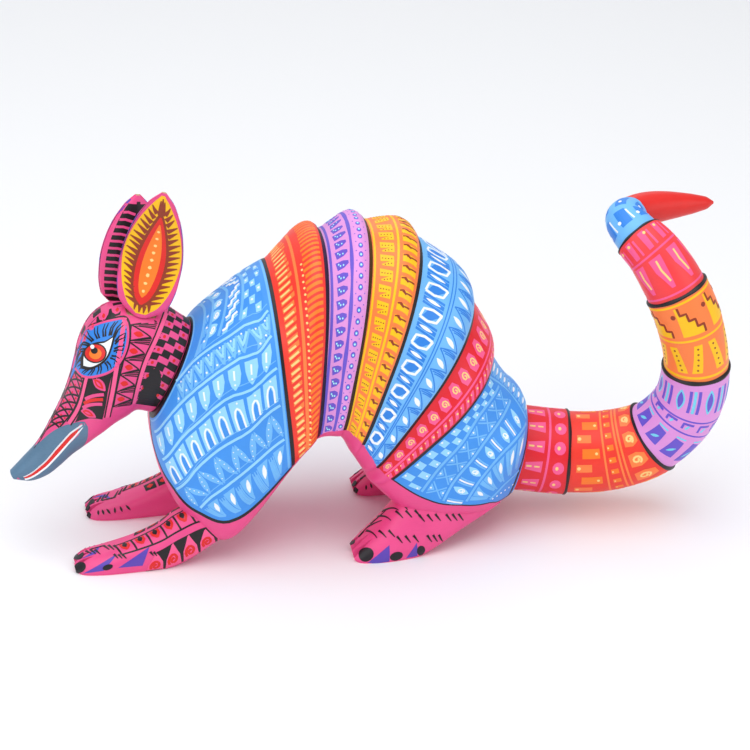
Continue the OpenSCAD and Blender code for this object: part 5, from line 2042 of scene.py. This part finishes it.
def paint_sky_segment():
    """Blue blocks, white dots and white strokes."""
    p = tail_strip(9.15, 10.9)
    for _, a, w in cells(6):
        block(p, "blue", a - w * 0.6, a + w * 0.5, 0.10, 0.42, 1)
        block(p, "blue", a - w * 0.2, a + w * 0.9, 0.52, 0.86, 1)
        disc(p, "white", a - w * 0.6, 0.20, 1.6, 2)
        disc(p, "white", a + w * 0.3, 0.60, 1.4, 2)
        stroke(p, "white", [(a + w * 0.75, 0.12), (a + w * 0.6, 0.38)], 0.7, 1)


def paint_tail():
    paint_on("tail", "tail", "tail_paint")
    for u in (1, 3, 5, 7, 9):
        ring_line(u, "black", lambda s: 1.9 + 0.3 * math.sin(40 * s), 3, 1.4)
    paint_crimson_segment()
    paint_vermilion_segment()
    paint_lilac_segment()
    paint_orange_segment()
    paint_coral_segment()
    paint_sky_segment()


# ------------------------------------------------------------
# Build everything
# ------------------------------------------------------------

make_trunk()
paint_trunk()
make_head()
paint_head()
for side in (LEFT, RIGHT):
    make_ear(side)
    paint_ear(side)
leg_skins = {}
for name, rows, side, y, lean, back in LEGS:
    leg_skins[name] = make_leg(name, rows, side, y, lean, back)
paint_legs()
make_tail()
paint_tail()

for (piece_name, body, slot, pot), strokes in work.items():
    faces = strokes.faces
    marks = make_piece(f"{piece_name}_{pot}_strokes", strokes.points, faces, [pot], [0] * len(faces))
    settle(marks, body)

# The pegs and dowels stay as imported, in bare wood
for name, node in frame["nodes"].items():
    if "peg" in name or "dowel" in name:
        for slot in node.material_slots:
            slot.material = paint_of("wood")


# ------------------------------------------------------------
# Table, light and camera
# ------------------------------------------------------------

FLOOR_SIZE = 6.0


def make_stage():
    """A white sweep: a floor that curves up into a backdrop."""
    bpy.ops.object.select_all(action="DESELECT")
    bpy.ops.mesh.primitive_plane_add(size=FLOOR_SIZE, location=(0, 0, 0))
    floor = bpy.context.active_object
    floor.name = "studio_floor"
    bpy.ops.object.transform_apply(location=True, rotation=True, scale=True)
    bpy.ops.object.mode_set(mode="EDIT")
    bpy.ops.mesh.select_all(action="DESELECT")
    bpy.ops.object.mode_set(mode="OBJECT")
    for edge in floor.data.edges:
        ends = [floor.data.vertices[k].co for k in edge.vertices]
        edge.select = all(e.y > FLOOR_SIZE / 2 - 0.1 for e in ends)
    bpy.ops.object.mode_set(mode="EDIT")
    bpy.ops.mesh.extrude_region_move(TRANSFORM_OT_translate={"value": (0, 0.4, 3)})
    bpy.ops.object.mode_set(mode="OBJECT")
    bend = floor.modifiers.new("bend", "BEVEL")
    bend.width = 0.9
    bend.segments = 12
    bpy.ops.object.modifier_apply(modifier="bend")
    bpy.ops.object.shade_smooth_by_angle(angle=math.radians(60))
    paper = bpy.data.materials.new("white_paper")
    paper.use_nodes = True
    shader = paper.node_tree.nodes["Principled BSDF"]
    shader.inputs["Base Color"].default_value = (0.92, 0.925, 0.94, 1)
    shader.inputs["Roughness"].default_value = 0.6
    floor.data.materials.append(paper)


def add_softbox(name, place, aim, size, power):
    data = bpy.data.lights.new(name, "AREA")
    data.shape = "RECTANGLE"
    data.size, data.size_y = size
    data.energy = power
    lamp = bpy.data.objects.new(name, data)
    bpy.context.scene.collection.objects.link(lamp)
    lamp.location = place
    lamp.rotation_euler = (Vector(aim) - Vector(place)).to_track_quat("-Z", "Y").to_euler()


make_stage()
middle = (0.0, 0.0, 0.06)
add_softbox("top_softbox", (-0.1, -0.15, 1.1), middle, (1.4, 1.2), 9.0)
add_softbox("left_softbox", (-1.0, -0.9, 0.7), middle, (0.9, 0.9), 4.5)
add_softbox("right_softbox", (1.0, -0.8, 0.6), middle, (0.9, 0.9), 3.6)
add_softbox("back_softbox", (0.0, 1.3, 0.9), middle, (1.6, 0.8), 3)

bpy.context.scene.view_settings.view_transform = "Standard"
world = bpy.data.worlds.new("studio")
bpy.context.scene.world = world
world.use_nodes = True
world.node_tree.nodes["Background"].inputs["Color"].default_value = (0.95, 0.97, 1.0, 1)
world.node_tree.nodes["Background"].inputs["Strength"].default_value = 0.50

around, above, away = math.radians(8.5), math.radians(24), 1.150
target = Vector((0.0032, 0.0, 0.0625))
look = Vector((math.sin(around) * math.cos(above), math.cos(around) * math.cos(above), -math.sin(above)))
camera_data = bpy.data.cameras.new("camera")
camera_data.sensor_width = 36
camera_data.lens = 142.3
camera = bpy.data.objects.new("camera", camera_data)
bpy.context.scene.collection.objects.link(camera)
camera.location = target - look * away
camera.rotation_euler = look.to_track_quat("-Z", "Y").to_euler()
bpy.context.scene.camera = camera
